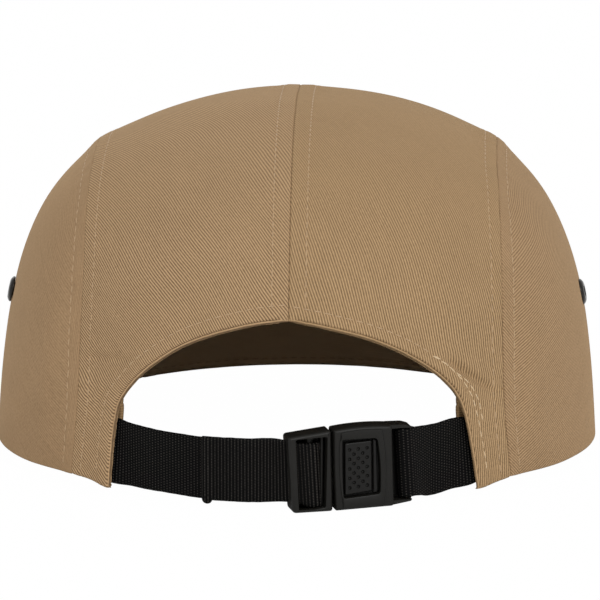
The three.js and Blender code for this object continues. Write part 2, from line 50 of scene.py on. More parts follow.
crown = {
    "halfWidth": 93.2, "rear": 102.0, "front": 101.0,
    "middleY": 31.7,                         # the crown's middle in the cap's frame
    "rimSide": 3.9, "rimRearRise": 0.4, "rimFrontRise": 5.4,
    "domeFrom": 20, "domeHeight": 88.0,      # the cloth's direction rises from here
    "seamRearY": 70.5, "seamFrontY": -71.0,
    "lean": 0.22, "turn": 4.4,               # how a side panel leans and turns in to the top
    "frontSeam": 0.25,                       # share of the way over the crown
    "shoulderFront": 0.2, "shoulderRear": 0.8,
    # the course of the centre line and of the side seams, and half the arc between the seams in degrees
    "sections": {
        "centreY": [-101, -100, -95, -84, -55, -10, 35, 70, 91, 99, 102],
        "centreZ": [9.3, 38.7, 68.7, 90.7, 104, 108.9, 104.9, 88.7, 60.7, 31.7, 3.1],
        "seamX": [65.5, 65, 63.5, 62.5, 62, 61.5, 61.5, 62.3, 62.7, 63.5, 65.7],
        "seamY": [-71, -69, -63, -52, -33, -5, 26, 49, 62.4, 68.7, 70.5],
        "seamZ": [6.7, 33.7, 62.7, 81.2, 90.6, 94.4, 90.6, 77.7, 51.7, 27.7, 4.3],
        "arc": [45, 43, 38, 32, 30, 29, 30, 34, 39, 43, 47],
    },
    # rear opening: share of the half width at the left and the right, and cloth above the rim
    "arch": {
        "left": [0, 0.13, 0.245, 0.357, 0.446, 0.536, 0.606, 0.679, 0.731, 0.7665, 0.783, 0.7895, 0.789,
                 0.788, 0.7835],
        "right": [0, 0.085, 0.2, 0.327, 0.421, 0.525, 0.604, 0.682, 0.735, 0.766, 0.786, 0.7975, 0.806,
                  0.8125, 0.8175],
        "up": [53.1, 52.1, 50.5, 48.5, 46.4, 43.3, 40.2, 36.1, 32, 28, 23, 17, 11, 5, 0],
    },
    "archScale": 66.0,                       # millimetres for a whole half width, along the arch
}


# Colours and nodes

def toLinear(colour):
    values = [int(colour[i:i + 2], 16) / 255 for i in (1, 3, 5)]
    return [v / 12.92 if v <= 0.04045 else ((v + 0.055) / 1.055) ** 2.4 for v in values] + [1.0]


def add(tree, kind, inputs=None, **settings):
    new = tree.nodes.new("ShaderNode" + kind)
    for name, value in settings.items():
        setattr(new, name, value)
    for key, value in (inputs or {}).items():
        if isinstance(value, bpy.types.NodeSocket):
            tree.links.new(value, new.inputs[key])
        else:
            new.inputs[key].default_value = value
    return new


def startMaterial(name, constants):
    material = bpy.data.materials.new(name)
    material.use_nodes = True
    tree = material.node_tree
    shader = tree.nodes["Principled BSDF"]
    for key, value in constants.items():
        shader.inputs[key].default_value = value
    return material, tree, shader


def blendColours(tree, share, low, high):
    ends = [toLinear(end) if isinstance(end, str) else end for end in (low, high)]
    return add(tree, "Mix", {"Factor": share, 6: ends[0], 7: ends[1]}, data_type="RGBA").outputs[2]


def maths(tree, operation, *values):
    return add(tree, "Math", dict(enumerate(values)), operation=operation).outputs[0]


def ranged(tree, value, low=0.0, high=1.0, toLow=0.0, toHigh=1.0):
    inputs = {"Value": value, "From Min": low, "From Max": high, "To Min": toLow, "To Max": toHigh}
    return add(tree, "MapRange", inputs).outputs["Result"]


def speckle(tree, place, scale, detail):
    return add(tree, "TexNoise", {"Vector": place, "Scale": scale, "Detail": detail}).outputs["Fac"]


# bands of a wave texture turn once in pi / 10 of its own units
def bands(tree, place, pitch, direction, more):
    inputs = {"Vector": place, "Scale": math.pi / (10 * pitch), **more}
    return add(tree, "TexWave", inputs, wave_type="BANDS", bands_direction=direction).outputs["Fac"]


# leads a colour, a height and a roughness into the shader
def wire(tree, shader, colour, height=None, strength=0.0, depth=0.0, roughness=None):
    tree.links.new(colour, shader.inputs["Base Color"])
    if height is not None:
        bump = add(tree, "Bump", {"Height": height, "Strength": strength, "Distance": depth})
        tree.links.new(bump.outputs["Normal"], shader.inputs["Normal"])
    if roughness is not None:
        tree.links.new(roughness, shader.inputs["Roughness"])


weave = {
    "pitch": 0.79,                           # the real ribs are about 0.6 mm apart; these show at this size
    "yarn": (0.9, 11.0), "float": (0.45, 1.1),                     # millimetres wide and long
    "yarnShare": 0.26, "floatShare": 0.52, "dyeShare": 0.12,       # unevenness in the colour
    # where the painted rib shading fades towards the crown's top
    "topLightFadeFrom": 0.048, "topLightFadeTo": 0.1, "topLightFadeClear": 0.6,   # heights in metres
    "frontwardFrom": 0.06, "frontwardTo": -0.02,                             # metres towards the rear
}


# Piece-dyed cotton twill: matt, with fine diagonal ribs and slightly uneven yarns, edges a little fuzzy.
def cottonTwill(name, low, high, relief=0.11, clear=0.84, paler=None):
    material, tree, shader = startMaterial(name, {
        "Roughness": 0.92, "Sheen Weight": 0.3, "Sheen Roughness": 0.4, "Sheen Tint": toLinear("#c9ab82"),
        "Specular IOR Level": 0.12,
    })
    cloth = add(tree, "UVMap", uv_map="cloth").outputs["UV"]
    ribs = bands(tree, cloth, weave["pitch"], "X",
                 {"Distortion": 0.9, "Detail": 1.0, "Detail Scale": 0.4, "Detail Roughness": 0.5})

    def streaks(width, length, detail):
        drawn = add(tree, "Mapping", {"Vector": cloth, "Scale": (1 / width, 1 / length, 1.0)})
        return speckle(tree, drawn.outputs["Vector"], 1.0, detail)

    floats = streaks(*weave["float"], 1.0)
    place = add(tree, "TexCoord").outputs["Object"]
    # the ribs' dark and light bands in the colour are partly the yarn's own tone and partly painted shading
    # of their valleys and crests
    shares = ((ribs, clear), (streaks(*weave["yarn"], 2.0), weave["yarnShare"]),
              (floats, weave["floatShare"]), (speckle(tree, place, 45.0, 2.0), weave["dyeShare"]))
    # ribs and noises are 0.5 in the middle, which is to change nothing
    share = -sum(weight for _, weight in shares) / 2
    for value, weight in shares:
        share = maths(tree, "MULTIPLY_ADD", value, weight, share)
    # painted light: the ribs' colour contrast is lowered towards the crown's top, as light from above
    # flattens their shading there
    parts = add(tree, "SeparateXYZ", {"Vector": place}).outputs
    topLightFade = ranged(tree, parts["Z"], weave["topLightFadeFrom"], weave["topLightFadeTo"], 1.0, weave["topLightFadeClear"])
    colour = blendColours(tree, maths(tree, "MULTIPLY_ADD", share, topLightFade, 0.5), low, high)
    if paler:
        # paler towards the front
        frontward = ranged(tree, parts["Y"], weave["frontwardFrom"], weave["frontwardTo"])
        colour = blendColours(tree, frontward, colour, paler)
    wire(tree, shader, colour, maths(tree, "MULTIPLY_ADD", floats, 0.5, ribs), 0.8, relief * mm)
    return material


# Spun polyester sewing thread, a shade lighter than the cloth, with its twist across each stitch.
def sewingThread(name, low, high):
    material, tree, shader = startMaterial(name, {"Roughness": 0.7, "Sheen Weight": 0.2})
    twist = speckle(tree, add(tree, "TexCoord").outputs["Object"], 2600.0, 1.0)
    wire(tree, shader, blendColours(tree, twist, low, high), twist, 0.4, 0.0001)
    return material


# Woven nylon webbing: the cross ribs are modelled; the shine on its filament floats is a painted highlight in
# the colour, drawn as grey dots in brick order on one face and as nearly unbroken ribs on the other.
def ribbedWebbing(name):
    material, tree, shader = startMaterial(name, {"Roughness": 0.55, "Specular IOR Level": 0.05})
    cloth = add(tree, "UVMap", uv_map="cloth").outputs["UV"]
    crest, turns = (bands(tree, cloth, strap["rib"] * count, "X", {"Phase Offset": math.pi / 2})
                    for count in (1, 2))
    rows = bands(tree, cloth, strap["dot"], "Y", {})
    brick = maths(tree, "MULTIPLY", *(maths(tree, "SUBTRACT", wave, 0.5) for wave in (turns, rows)))
    bars = ranged(tree, crest, 0.55)
    dots = maths(tree, "MULTIPLY", ranged(tree, brick, -0.05, 0.15), bars)
    unbroken = maths(tree, "MULTIPLY", bars, ranged(tree, brick, -0.2, 0.12, 0.2))
    # cloth coordinates of the ribbed face are moved up, so that the weave can tell the faces apart
    height = add(tree, "SeparateXYZ", {"Vector": cloth}).outputs["Y"]
    ribbed = maths(tree, "GREATER_THAN", height, strap["faceShift"] / 2)
    floats = add(tree, "Mix", {"Factor": ribbed, 2: dots, 3: unbroken}).outputs[0]
    share = maths(tree, "MULTIPLY", floats, speckle(tree, cloth, 1.3, 2.0))
    # painted highlights: the colour runs from black to grey on the floats
    wire(tree, shader, blendColours(tree, share, "#060606", "#4e4a46"), floats, 0.7, 0.00012)
    return material


# Acetal, injection moulded in a spark-eroded mould: satin black with a very fine grain.
# The grain is about 0.1 mm and drawn at 0.25 mm.
def mouldedAcetal(name, low, high, roughness=0.42):
    material, tree, shader = startMaterial(name, {"IOR": 1.48, "Specular IOR Level": 0.24})
    place = add(tree, "TexCoord").outputs["Object"]
    cloud = speckle(tree, place, 160.0, 3.0)
    wire(tree, shader, blendColours(tree, cloud, low, high), speckle(tree, place, 4000.0, 1.0), 0.25, 0.00003,
         ranged(tree, cloud, toLow=roughness - 0.06, toHigh=roughness + 0.08))
    return material


# Brass, lacquered black: dark and smooth, with the lacquer worn a little thinner in places.
def blackLacquer(name):
    constants = {"Metallic": 1.0, "Coat Weight": 0.4, "Coat Roughness": 0.15}
    material, tree, shader = startMaterial(name, constants)
    wear = speckle(tree, add(tree, "TexCoord").outputs["Object"], 900.0, 3.0)
    wire(tree, shader, blendColours(tree, wear, "#141312", "#34302b"),
         roughness=ranged(tree, wear, toLow=0.24, toHigh=0.4))
    return material


# Painted studio board: pale, matt, with a barely uneven coat.
def studioBoard(name):
    material, tree, shader = startMaterial(name, {"Roughness": 0.9, "Specular IOR Level": 0.1})
    coat = speckle(tree, add(tree, "TexCoord").outputs["Object"], 6.0, 2.0)
    wire(tree, shader, blendColours(tree, coat, "#f6f6f5", "#fafaf9"))
    # painted light: for camera rays only the board glows white over its own shading, which paints the shadows
    # on it out to pale; the glow lights nothing
    seen = add(tree, "LightPath").outputs["Is Camera Ray"]
    share = maths(tree, "MULTIPLY", seen, studio["paintedGlow"])
    glow = add(tree, "Emission", {"Color": toLinear("#ffffff"), "Strength": 1.0}).outputs[0]
    both = add(tree, "MixShader", {"Fac": share, 1: shader.outputs[0], 2: glow}).outputs[0]
    tree.links.new(both, tree.nodes["Material Output"].inputs["Surface"])
    return material


# Curves and surfaces, in millimetres

# a natural cubic through values at knots, read at any place between them
def naturalSpline(knots, values):
    knots, values = np.asarray(knots, float), np.asarray(values, float)
    count = len(knots)
    gaps = np.diff(knots)
    system = np.eye(count)
    change = np.zeros_like(values)
    for i in range(1, count - 1):
        system[i, i - 1:i + 2] = gaps[i - 1], 2 * (gaps[i - 1] + gaps[i]), gaps[i]
        change[i] = 6 * ((values[i + 1] - values[i]) / gaps[i] - (values[i] - values[i - 1]) / gaps[i - 1])
    bends = np.linalg.solve(system, change.reshape(count, -1)).reshape(values.shape)

    def read(at):
        at = np.asarray(at, float)
        i = np.clip(np.searchsorted(knots, at) - 1, 0, count - 2)
        widen = (...,) + (None,) * (values.ndim - 1)
        h = gaps[i][widen]
        b = ((at - knots[i]) / gaps[i])[widen]
        a = 1 - b
        curve = (a**3 - a) * bends[i] + (b**3 - b) * bends[i + 1]
        return a * values[i] + b * values[i + 1] + curve * h * h / 6

    return read


def stack(*parts):
    return np.stack(np.broadcast_arrays(*parts), -1)


def unit(vectors):
    return vectors / np.linalg.norm(vectors, axis=-1, keepdims=True)


def lengths(line):
    return np.concatenate([[0.0], np.cumsum(np.linalg.norm(np.diff(line, axis=0), axis=-1))])


# the point of a path where a rising column reads a value
def readAt(value, column, path):
    return np.array([np.interp(value, column, path[:, axis]) for axis in range(3)])


# a spline through a table, by share of the chord length of two of its columns
def throughTable(table, chordA, chordB, scaleA=1.0):
    chord = lengths(stack(np.array(table[chordA], float) * scaleA, table[chordB]))
    spline = naturalSpline(chord / chord[-1], stack(*table.values()))
    return lambda share: dict(zip(table, np.moveaxis(spline(share), -1, 0))), chord[-1]


overCrown, crownLength = throughTable(crown["sections"], "centreY", "centreZ")
alongArch, _ = throughTable(crown["arch"], "left", "up", crown["archScale"])
words = {1: "left", -1: "right"}     # sides of the cap by the sign of X


def mix(a, b, share):
    return a + (b - a) * share


def smoothstep(low, high, x):
    t = np.clip((x - low) / (high - low), 0, 1)
    return t * t * (3 - 2 * t)


def bell(distance, width):
    return np.exp(-((distance / width) ** 2))


# outer face between the side seams: u -1..1 across, s 0..1 from the front rim to the rear rim
def strip(u, s):
    row = overCrown(s)
    a = np.radians(row["arc"])
    bulge = (np.cos(u * a) - np.cos(a)) / (1 - np.cos(a))
    return stack(row["seamX"] * np.sin(u * a) / np.sin(a),
                 mix(row["seamY"], row["centreY"], bulge), mix(row["seamZ"], row["centreZ"], bulge))


# half width of the cloth from the centre line to a side seam
def halfCloth(s):
    row = overCrown(s)
    a = np.radians(row["arc"])
    return row["seamX"] * a / np.sin(a)


seamShares = np.linspace(0, 1, 401)
seamLine = strip(np.ones_like(seamShares), seamShares)


def rimX(y):
    reach = np.where(y > 0, crown["rear"], crown["front"])
    return crown["halfWidth"] * np.sqrt(np.clip(1 - (y / reach) ** 2, 0, 1))


def rimZ(y):
    rear = crown["rimRearRise"] * (y / crown["seamRearY"]) ** 2
    front = crown["rimFrontRise"] * (y / crown["front"]) ** 2
    return crown["rimSide"] + np.where(y > 0, rear, front)


def sideX(y, z):
    seamX = np.interp(y, seamLine[:, 1], seamLine[:, 0])
    seamZ = np.interp(y, seamLine[:, 1], seamLine[:, 2])
    f = np.clip((z - rimZ(y)) / np.maximum(seamZ - rimZ(y), 1e-6), 0, 1)
    return mix(rimX(y), seamX, crown["lean"] * f + (1 - crown["lean"]) * f ** crown["turn"])


# direction through the cloth, shared by neighbouring panels
def outward(p):
    lift = np.maximum(0, p[..., 2] - crown["domeFrom"]) / crown["domeHeight"] ** 2
    return unit(stack(p[..., 0] / crown["halfWidth"] ** 2, p[..., 1] / crown["rear"] ** 2, lift))


# evenly spaced shares from 0 to 1, gathered towards both ends where the seams are
def gathered(count, strength=0.7):
    t = np.linspace(0, 1, count + 1)
    return t - strength * np.sin(2 * math.pi * t) / (2 * math.pi)


# distance of points to a line of points, and how far along the line
def nearest(points, line):
    run = lengths(line)
    best = np.full(points.shape[:-1], np.inf)
    along = np.zeros_like(best)
    for start, end, before, after in zip(line[:-1], line[1:], run[:-1], run[1:]):
        edge = end - start
        t = np.clip(((points - start) @ edge) / (edge @ edge), 0, 1)
        gap = np.linalg.norm(points - start - t[..., None] * edge, axis=-1)
        closer = gap < best
        best[closer] = gap[closer]
        along[closer] = (before + t * (after - before))[closer]
    return best, along


def softNoise(x, y, z=0.0):
    x, y, z = np.broadcast_arrays(x, y, z)
    return np.array([noise.noise(p) for p in zip(x.ravel(), y.ravel(), z.ravel())]).reshape(x.shape)


def toWorld(points):
    return (np.asarray(points, float) + (0, crown["middleY"], 0)) * mm


# Pieces

def addObject(name, data):
    new = bpy.data.objects.new(name, data)
    bpy.context.collection.objects.link(new)
    return new


def link(name, mesh, material, replaces=()):
    piece = addObject(name, mesh)
    mesh.materials.append(material)
    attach(piece, "root")
    if replaces:
        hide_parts(*replaces)
    return piece


def toMesh(bm, name, smooth=True):
    mesh = bpy.data.meshes.new(name)
    bm.to_mesh(mesh)
    bm.free()
    if smooth:
        mesh.shade_smooth()
    return mesh


# a grid laid over points[row][column]; its UV map holds the cloth coordinates in millimetres
def clothGrid(points, uv):
    bm = bmesh.new()
    bmesh.ops.create_grid(bm, x_segments=points.shape[1] - 1, y_segments=points.shape[0] - 1, size=0.5)
    bm.verts.index_update()
    # the grid's vertices come row by row
    for v, place in zip(bm.verts, toWorld(points).reshape(-1, 3)):
        v.co = place
    bm.loops.layers.uv.new("cloth")
    layGrain(bm, uv)
    bm.normal_update()
    return bm


# writes cloth coordinates on the faces whose corners are all chosen, or on all of them
def layGrain(bm, uv, chosen=None):
    layer = bm.loops.layers.uv["cloth"]
    flat = uv.reshape(-1, 2)
    pick = np.ones(len(flat), bool) if chosen is None else chosen.ravel()
    for face in bm.faces:
        if pick[[loop.vert.index for loop in face.loops]].all():
            for loop in face.loops:
                loop[layer].uv = flat[loop.vert.index]


# turns cloth coordinates so that the twill lines run along V; steepness is that of the lines seen
# from behind, falling to the right
def grain(x, y, steepness):
    turn = math.radians(steepness - 90)
    return stack(x * math.cos(turn) - y * math.sin(turn), x * math.sin(turn) + y * math.cos(turn))


# a piece of twill with a wall inside the grid; gives its outer face for the stitches
def buildWall(bm, name, material, thickness):
    middle = Vector(toWorld([0, 0, 30]))
    if sum((f.calc_center_median() - middle).dot(f.normal) * f.calc_area() for f in bm.faces) < 0:
        bmesh.ops.reverse_faces(bm, faces=bm.faces)
    surface = BVHTree.FromBMesh(bm)
    piece = link(name + "_twill", toMesh(bm, name), material, [name])
    wall = piece.modifiers.new("wall", "SOLIDIFY")
    wall.thickness = thickness * mm
    wall.offset = -1.0
    return surface


def boundary(bm):
    return [e for e in bm.edges if e.is_boundary]


def closeUp(bm):
    bmesh.ops.remove_doubles(bm, verts=bm.verts, dist=1e-7)
    bmesh.ops.holes_fill(bm, edges=boundary(bm), sides=0)
    bmesh.ops.recalc_face_normals(bm, faces=bm.faces)


# takes the unit axes to three vectors and the origin to a place
def axesMatrix(axes, place):
    return Matrix([(*[axis[i] for axis in axes], place[i]) for i in range(3)] + [(0, 0, 0, 1)])


# Sewing

sewing = {
    "length": 2.35, "gap": 0.85,     # three stitches to the centimetre
    "thread": 0.42, "rise": 0.34,    # width and height of a stitch
    "batch": 24,
}


# places along a path, in pairs, where each stitch goes in and comes out
def stitchEnds(path):
    run = lengths(path)
    pitch, half = sewing["length"] + sewing["gap"], sewing["length"] / 2
    middles = (np.arange(int(run[-1] / pitch)) + 0.5) * pitch
    return [[readAt(at, run, path) for at in (middle - half, middle + half)] for middle in middles]


def ontoSurface(path, surface):
    stitches = []
    for ends in stitchEnds(path):
        (start, normalA), (end, normalB) = (surface.find_nearest(Vector(toWorld(p)))[:2] for p in ends)
        stitches.append((start, end, (normalA + normalB).normalized()))
    return stitches


# for paths that already lie on an inner face
def ontoInside(path):
    return [(Vector(toWorld(start)), Vector(toWorld(end)), Vector(-outward(start)))
            for start, end in stitchEnds(path)]


# each stitch is a spindle; they are made in batches, because a large bmesh is slow to add to
def makeStitches(name, stitches, material):
    whole = bmesh.new()
    for first in range(0, len(stitches), sewing["batch"]):
        batch = bmesh.new()
        for start, end, normal in stitches[first:first + sewing["batch"]]:
            along = end - start
            side = along.cross(normal).normalized()
            axes = (side * sewing["thread"] * mm, normal * sewing["rise"] * mm, along)
            bmesh.ops.create_uvsphere(batch, u_segments=6, v_segments=5, radius=0.5,
                                      matrix=axesMatrix(axes, (start + end) / 2))
        mesh = toMesh(batch, "batch")
        whole.from_mesh(mesh)
        bpy.data.meshes.remove(mesh)
    return link(name, toMesh(whole, name), material)


def sew(name, paths, surface, material):
    return makeStitches(name, [stitch for path in paths for stitch in ontoSurface(path, surface)], material)


# Camera, light and floor

def aimCamera():
    azimuth, elevation = math.radians(view["azimuth"]), math.radians(view["elevation"])
    back = Vector((-math.sin(azimuth) * math.cos(elevation), math.cos(azimuth) * math.cos(elevation),
                   math.sin(elevation)))
    camera = addObject("camera", bpy.data.cameras.new("camera"))
    camera.data.lens = view["lens"]
    camera.data.sensor_width = view["sensor"]
    camera.data.clip_end = 50
    camera.location = Vector(view["target"]) * mm + back * view["distance"] * mm
    camera.rotation_euler = back.to_track_quat("Z", "Y").to_euler()
    bpy.context.scene.camera = camera


def addLight(name, place, size, power):
    data = bpy.data.lights.new(name, "AREA")
    data.shape = "DISK"
    data.size = size
    data.energy = power
    lamp = addObject(name, data)
    lamp.location = place
    lamp.rotation_euler = Vector(place).to_track_quat("Z", "Y").to_euler()


studio = {
    "world": 0.72,
    "lamps": [
        {"name": "key", "place": (-1.1, 2.6, 2.0), "size": 1.6, "power": 42},
        {"name": "fill", "place": (2.2, 1.8, 1.4), "size": 1.8, "power": 2},
        {"name": "front", "place": (0.8, -2.6, 1.8), "size": 1.8, "power": 8},
    ],
    "floorSize": 16.0,
    "paintedGlow": 0.993,                      # how far the floor's shadows are lifted to white
}


def buildStudio():
    world = bpy.data.worlds.new("studio")
    world.use_nodes = True
    background = world.node_tree.nodes["Background"].inputs
    background["Color"].default_value = toLinear("#ffffff")
    background["Strength"].default_value = studio["world"]
    bpy.context.scene.world = world
    for lamp in studio["lamps"]:
        addLight(**lamp)
    bm = bmesh.new()
    bmesh.ops.create_circle(bm, cap_ends=True, segments=96, radius=studio["floorSize"] / 2)
    bmesh.ops.reverse_faces(bm, faces=[f for f in bm.faces if f.normal.z < 0])
    floor = addObject("floor", toMesh(bm, "floor", smooth=False))
    floor.data.materials.append(studioBoard("pale studio board"))
    bpy.context.scene.view_settings.view_transform = "Standard"


aimCamera()
buildStudio()
print("camera, light and floor are set")


# Crown panels

cloth = {
    "wall": 1.1,
    "sideStitch": 4.0, "frontStitch": 4.0, "centreStitch": 5.0, "hemStitch": {1: 4.8, -1: 4.3},
    "grooveDepth": 0.32, "grooveWidth": 0.26, "sideGroove": {1: 0.3, -1: 0.65},
    "facingStep": 0.3, "facingGroove": 0.4, "facingAt": 0.85, "facingWidth": 0.2,
    "allowance": 0.28,                 # the seam allowance lifts the cloth as far as its stitches
    "dimple": 0.2, "dimpleWidth": 0.55,
    "rollDepth": 0.7, "rollWidth": 0.9,
    "pucker": 0.16, "puckerPitch": 3.4, "puckerReach": 4.5,
    "wave": 0.42, "waveLength": 40.0,
    "allowanceFrom": -0.2, "allowanceTo": 1.8,   # where it ends, beyond the stitches
    "facingSoft": 0.15, "archRoll": 1.6, "facingShift": 0.02, "puckerSpread": 16,
    "wobble": {"back": 1.1, "side": 0.8}, "wobbleLength": {"back": 26, "side": 24},
    "seamRows": 0.74,                  # share of a back panel's rows along the centre seam, above the arch
    "frontSteepness": 62,
}

twill = cottonTwill("khaki cotton twill", "#6e5840", "#c1a07a")
# each panel has its own copy of the twill, with painted light and shade: the right back panel and the side
# panels are a little darker, and each panel's ribs show more or less contrast in the colour, as the light
# falls across them
shadedBackTwill = {
    1: cottonTwill("khaki cotton twill, left back panel, painted rib shading", "#6e5840", "#c1a07a", clear=1.0),
    -1: cottonTwill("khaki cotton twill, right back panel, painted shade", "#6c573d", "#be9d76"),
}
shadedSideTwill = {
    1: cottonTwill("khaki cotton twill, left side panel, painted shade", "#6b553d", "#bb9a75", relief=0.06, clear=0.2),
    -1: cottonTwill("khaki cotton twill, right side panel, painted shade", "#6b553d", "#bc9b76", clear=0.62),
}
thread = sewingThread("khaki polyester thread", "#a18362", "#bea07a")
paleThread = sewingThread("pale khaki polyester thread", "#bfa27c", "#dcc4a0")

# soft creases of the back panels, from the photograph: millimetres in from the side seam and up from the rim
creases = {
    1: [
        {"from": (20.0, 42.0), "to": (3.0, 43.4), "depth": 0.75, "width": 1.1},
        {"from": (11.5, 36.0), "to": (7.5, 25.0), "depth": 0.4, "width": 1.0},
        {"from": (7.5, 34.0), "to": (3.5, 27.0), "depth": 0.35, "width": 1.2},
        {"from": (16.0, 44.0), "to": (26.0, 66.0), "depth": 0.2, "width": 5.0},
    ],
    -1: [
        {"from": (21.5, 43.2), "to": (2.5, 30.8), "depth": 1.25, "width": 1.3},
        {"from": (20.0, 46.5), "to": (3.0, 35.0), "depth": -0.35, "width": 2.2},
        {"from": (16.0, 27.0), "to": (7.0, 24.0), "depth": 0.3, "width": 1.4},
        {"from": (18.0, 46.0), "to": (30.0, 70.0), "depth": 0.2, "width": 5.0},
    ],
}

# The back panels' legs, with heights above the rim. The foot hangs a little below the rim. The facing
# narrows down the left leg and is pressed flat down the right one.
leg = {
    1: {"drop": 1.4, "reach": 6.0, "footUp": 11, "facingLow": 5, "facingHigh": 40, "facingWidth": 0.5,
        "facingDepth": 1.0},
    -1: {"drop": 1.5, "reach": 10.0, "footUp": 11, "facingLow": 20, "facingHigh": 36, "facingWidth": 1.0,
         "facingDepth": 0.25},
}

# The back panels' ribs: steepness, how far they lean over (millimetres sideways for each one up, by height
# above the rim), and how a leg draws them aside near a place in from the side seam and up.
backGrain = {
    1: {
        "steepness": 61, "leanUp": [0, 38, 56, 90, 120], "lean": [0.05, 0.05, 0.16, 0.0, -0.15],
        "drawn": 1.7, "drawnAt": (8, 38), "drawnReach": (9, 5),
        # the left leg is pulled round, so its ribs lie flatter and further apart
        "legSteepness": 43, "legSpread": 0.84, "legMiddle": (8, 33), "legFrom": 41, "legTo": 26,
    },
    -1: {
        "steepness": 75, "leanUp": [0, 35, 45, 60, 85, 120], "lean": [0.0, 0.0, -0.07, -0.01, 0.14, 0.2],
        "drawn": -0.32, "drawnBelow": 35, "drawnFrom": 34, "drawnTo": 18,
    },
}

# the hem is sewn twice over the right leg, the second time a little askew, by height above the rim
secondHem = {"up": [19, 28, 34, 38, 44], "askew": [1.5, 1.9, 1.6, 0.4, -0.8]}

archRow = alongArch(np.linspace(0, 1, 121))
archShare = 1 - archRow["up"] / crownLength
archLines = {side: stack(archRow[word] * halfCloth(archShare), archShare * crownLength)
             for side, word in words.items()}


def groove(distance):
    return -cloth["grooveDepth"] * bell(distance, cloth["grooveWidth"])


# the side seams are pressed flatter than the centre and front ones, the left one most
def sideGroove(side):
    return lambda distance: cloth["sideGroove"][side] * groove(distance)


def allowance(distance, stitch):
    ends = stitch + cloth["allowanceFrom"], stitch + cloth["allowanceTo"]
    return cloth["allowance"] * (1 - smoothstep(*ends, distance))


def dimple(distance, stitch):
    return -cloth["dimple"] * bell(distance - stitch, cloth["dimpleWidth"])


def roll(distance):
    return -cloth["rollDepth"] * np.clip(1 - distance / cloth["rollWidth"], 0, 1) ** 2


# the arch's edge shows its turned-in facing as a narrow rim beyond a fine groove
def facedEdge(at, depth):
    def edge(distance):
        rim = -cloth["facingStep"] * smoothstep(cloth["facingSoft"], -cloth["facingSoft"], distance - at)
        fold = bell(distance - at, cloth["facingWidth"])
        return depth * (rim - cloth["facingGroove"] * fold) + roll(distance * cloth["archRoll"])
    return edge


# ripples that run across a stitch line and fade away from it
def puckers(distance, along, stitch, seed):
    ripples = softNoise(along / cloth["puckerPitch"], distance / cloth["puckerSpread"], seed)
    return cloth["pucker"] * bell(distance - stitch, cloth["puckerReach"]) * 2 * ripples


def wobble(part, x, y, seed):
    reach = cloth["wobbleLength"][part]
    return cloth["wobble"][part] * softNoise(x / reach, y / reach, seed)


def waves(points):
    p = points / cloth["waveLength"]
    return cloth["wave"] * 2 * softNoise(p[..., 0], p[..., 1], p[..., 2])


# relief beside sewn lines: each has a distance, a place along it, its stitch distance and its edge's form
def sewnRelief(lines, seed):
    raised = 0.0
    relief = 0.0
    for k, (distance, along, stitch, edge) in enumerate(lines):
        relief = relief + edge(distance)
        if stitch:
            raised = np.maximum(raised, allowance(distance, stitch))
            relief = relief + dimple(distance, stitch) + puckers(distance, along, stitch, seed + k)
    return relief + raised


def creaseRelief(side, toSide, up):
    relief = 0.0
    for crease in creases[side]:
        line = np.array([crease["from"], crease["to"]], float)
        distance, along = nearest(stack(toSide, up), line)
        fade = np.sin(np.pi * np.clip(along / lengths(line)[-1], 0, 1)) ** 0.5
        relief = relief - crease["depth"] * fade * bell(distance, crease["width"])
    return relief


def lifted(points, relief):
    return points + outward(points) * relief[..., None]


# shares of a back panel's rows along its side seam and along its other edge, the centre seam and the arch
def backEdges(b, side):
    seam, split = crown["frontSeam"], cloth["seamRows"]
    arch = alongArch(np.clip((b - split) / (1 - split), 0, 1))
    innerU = np.where(b > split, arch[words[side]], 0.0)
    alongSeam = mix(seam, archShare[0], np.clip(b / split, 0, 1))
    innerS = np.where(b > split, 1 - arch["up"] / crownLength, alongSeam)
    return innerU, innerS, mix(seam, 1.0, b)


# the ribs waver, and bend where the legs are drawn in
def backCloth(side, x, y, toSide, up):
    lie = backGrain[side]
    aside = wobble("back", x, y, side)
    levels = np.linspace(0, crownLength, 400)
    leaned = np.cumsum(np.interp(levels, lie["leanUp"], lie["lean"])) * levels[1]
    x = side * x - np.interp(up, levels, leaned) + aside
    y = y + aside
    if side < 0:
        drawn = lie["drawn"] * np.clip(lie["drawnBelow"] - up, 0, None)
        drawn = drawn * smoothstep(lie["drawnFrom"], lie["drawnTo"], toSide)
        return grain(x + drawn, y, lie["steepness"])
    (atSide, atUp), (reachSide, reachUp) = lie["drawnAt"], lie["drawnReach"]
    drawn = lie["drawn"] * bell(toSide - atSide, reachSide) * bell(up - atUp, reachUp)
    legSide, legUp = lie["legMiddle"]
    x = x + drawn - (halfCloth(1 - legUp / crownLength) - legSide)
    y = y - drawn - (crownLength - legUp)
    onLeg = smoothstep(lie["legFrom"], lie["legTo"], up)[..., None]
    return mix(grain(x, y, lie["steepness"]), lie["legSpread"] * grain(x, y, lie["legSteepness"]), onLeg)


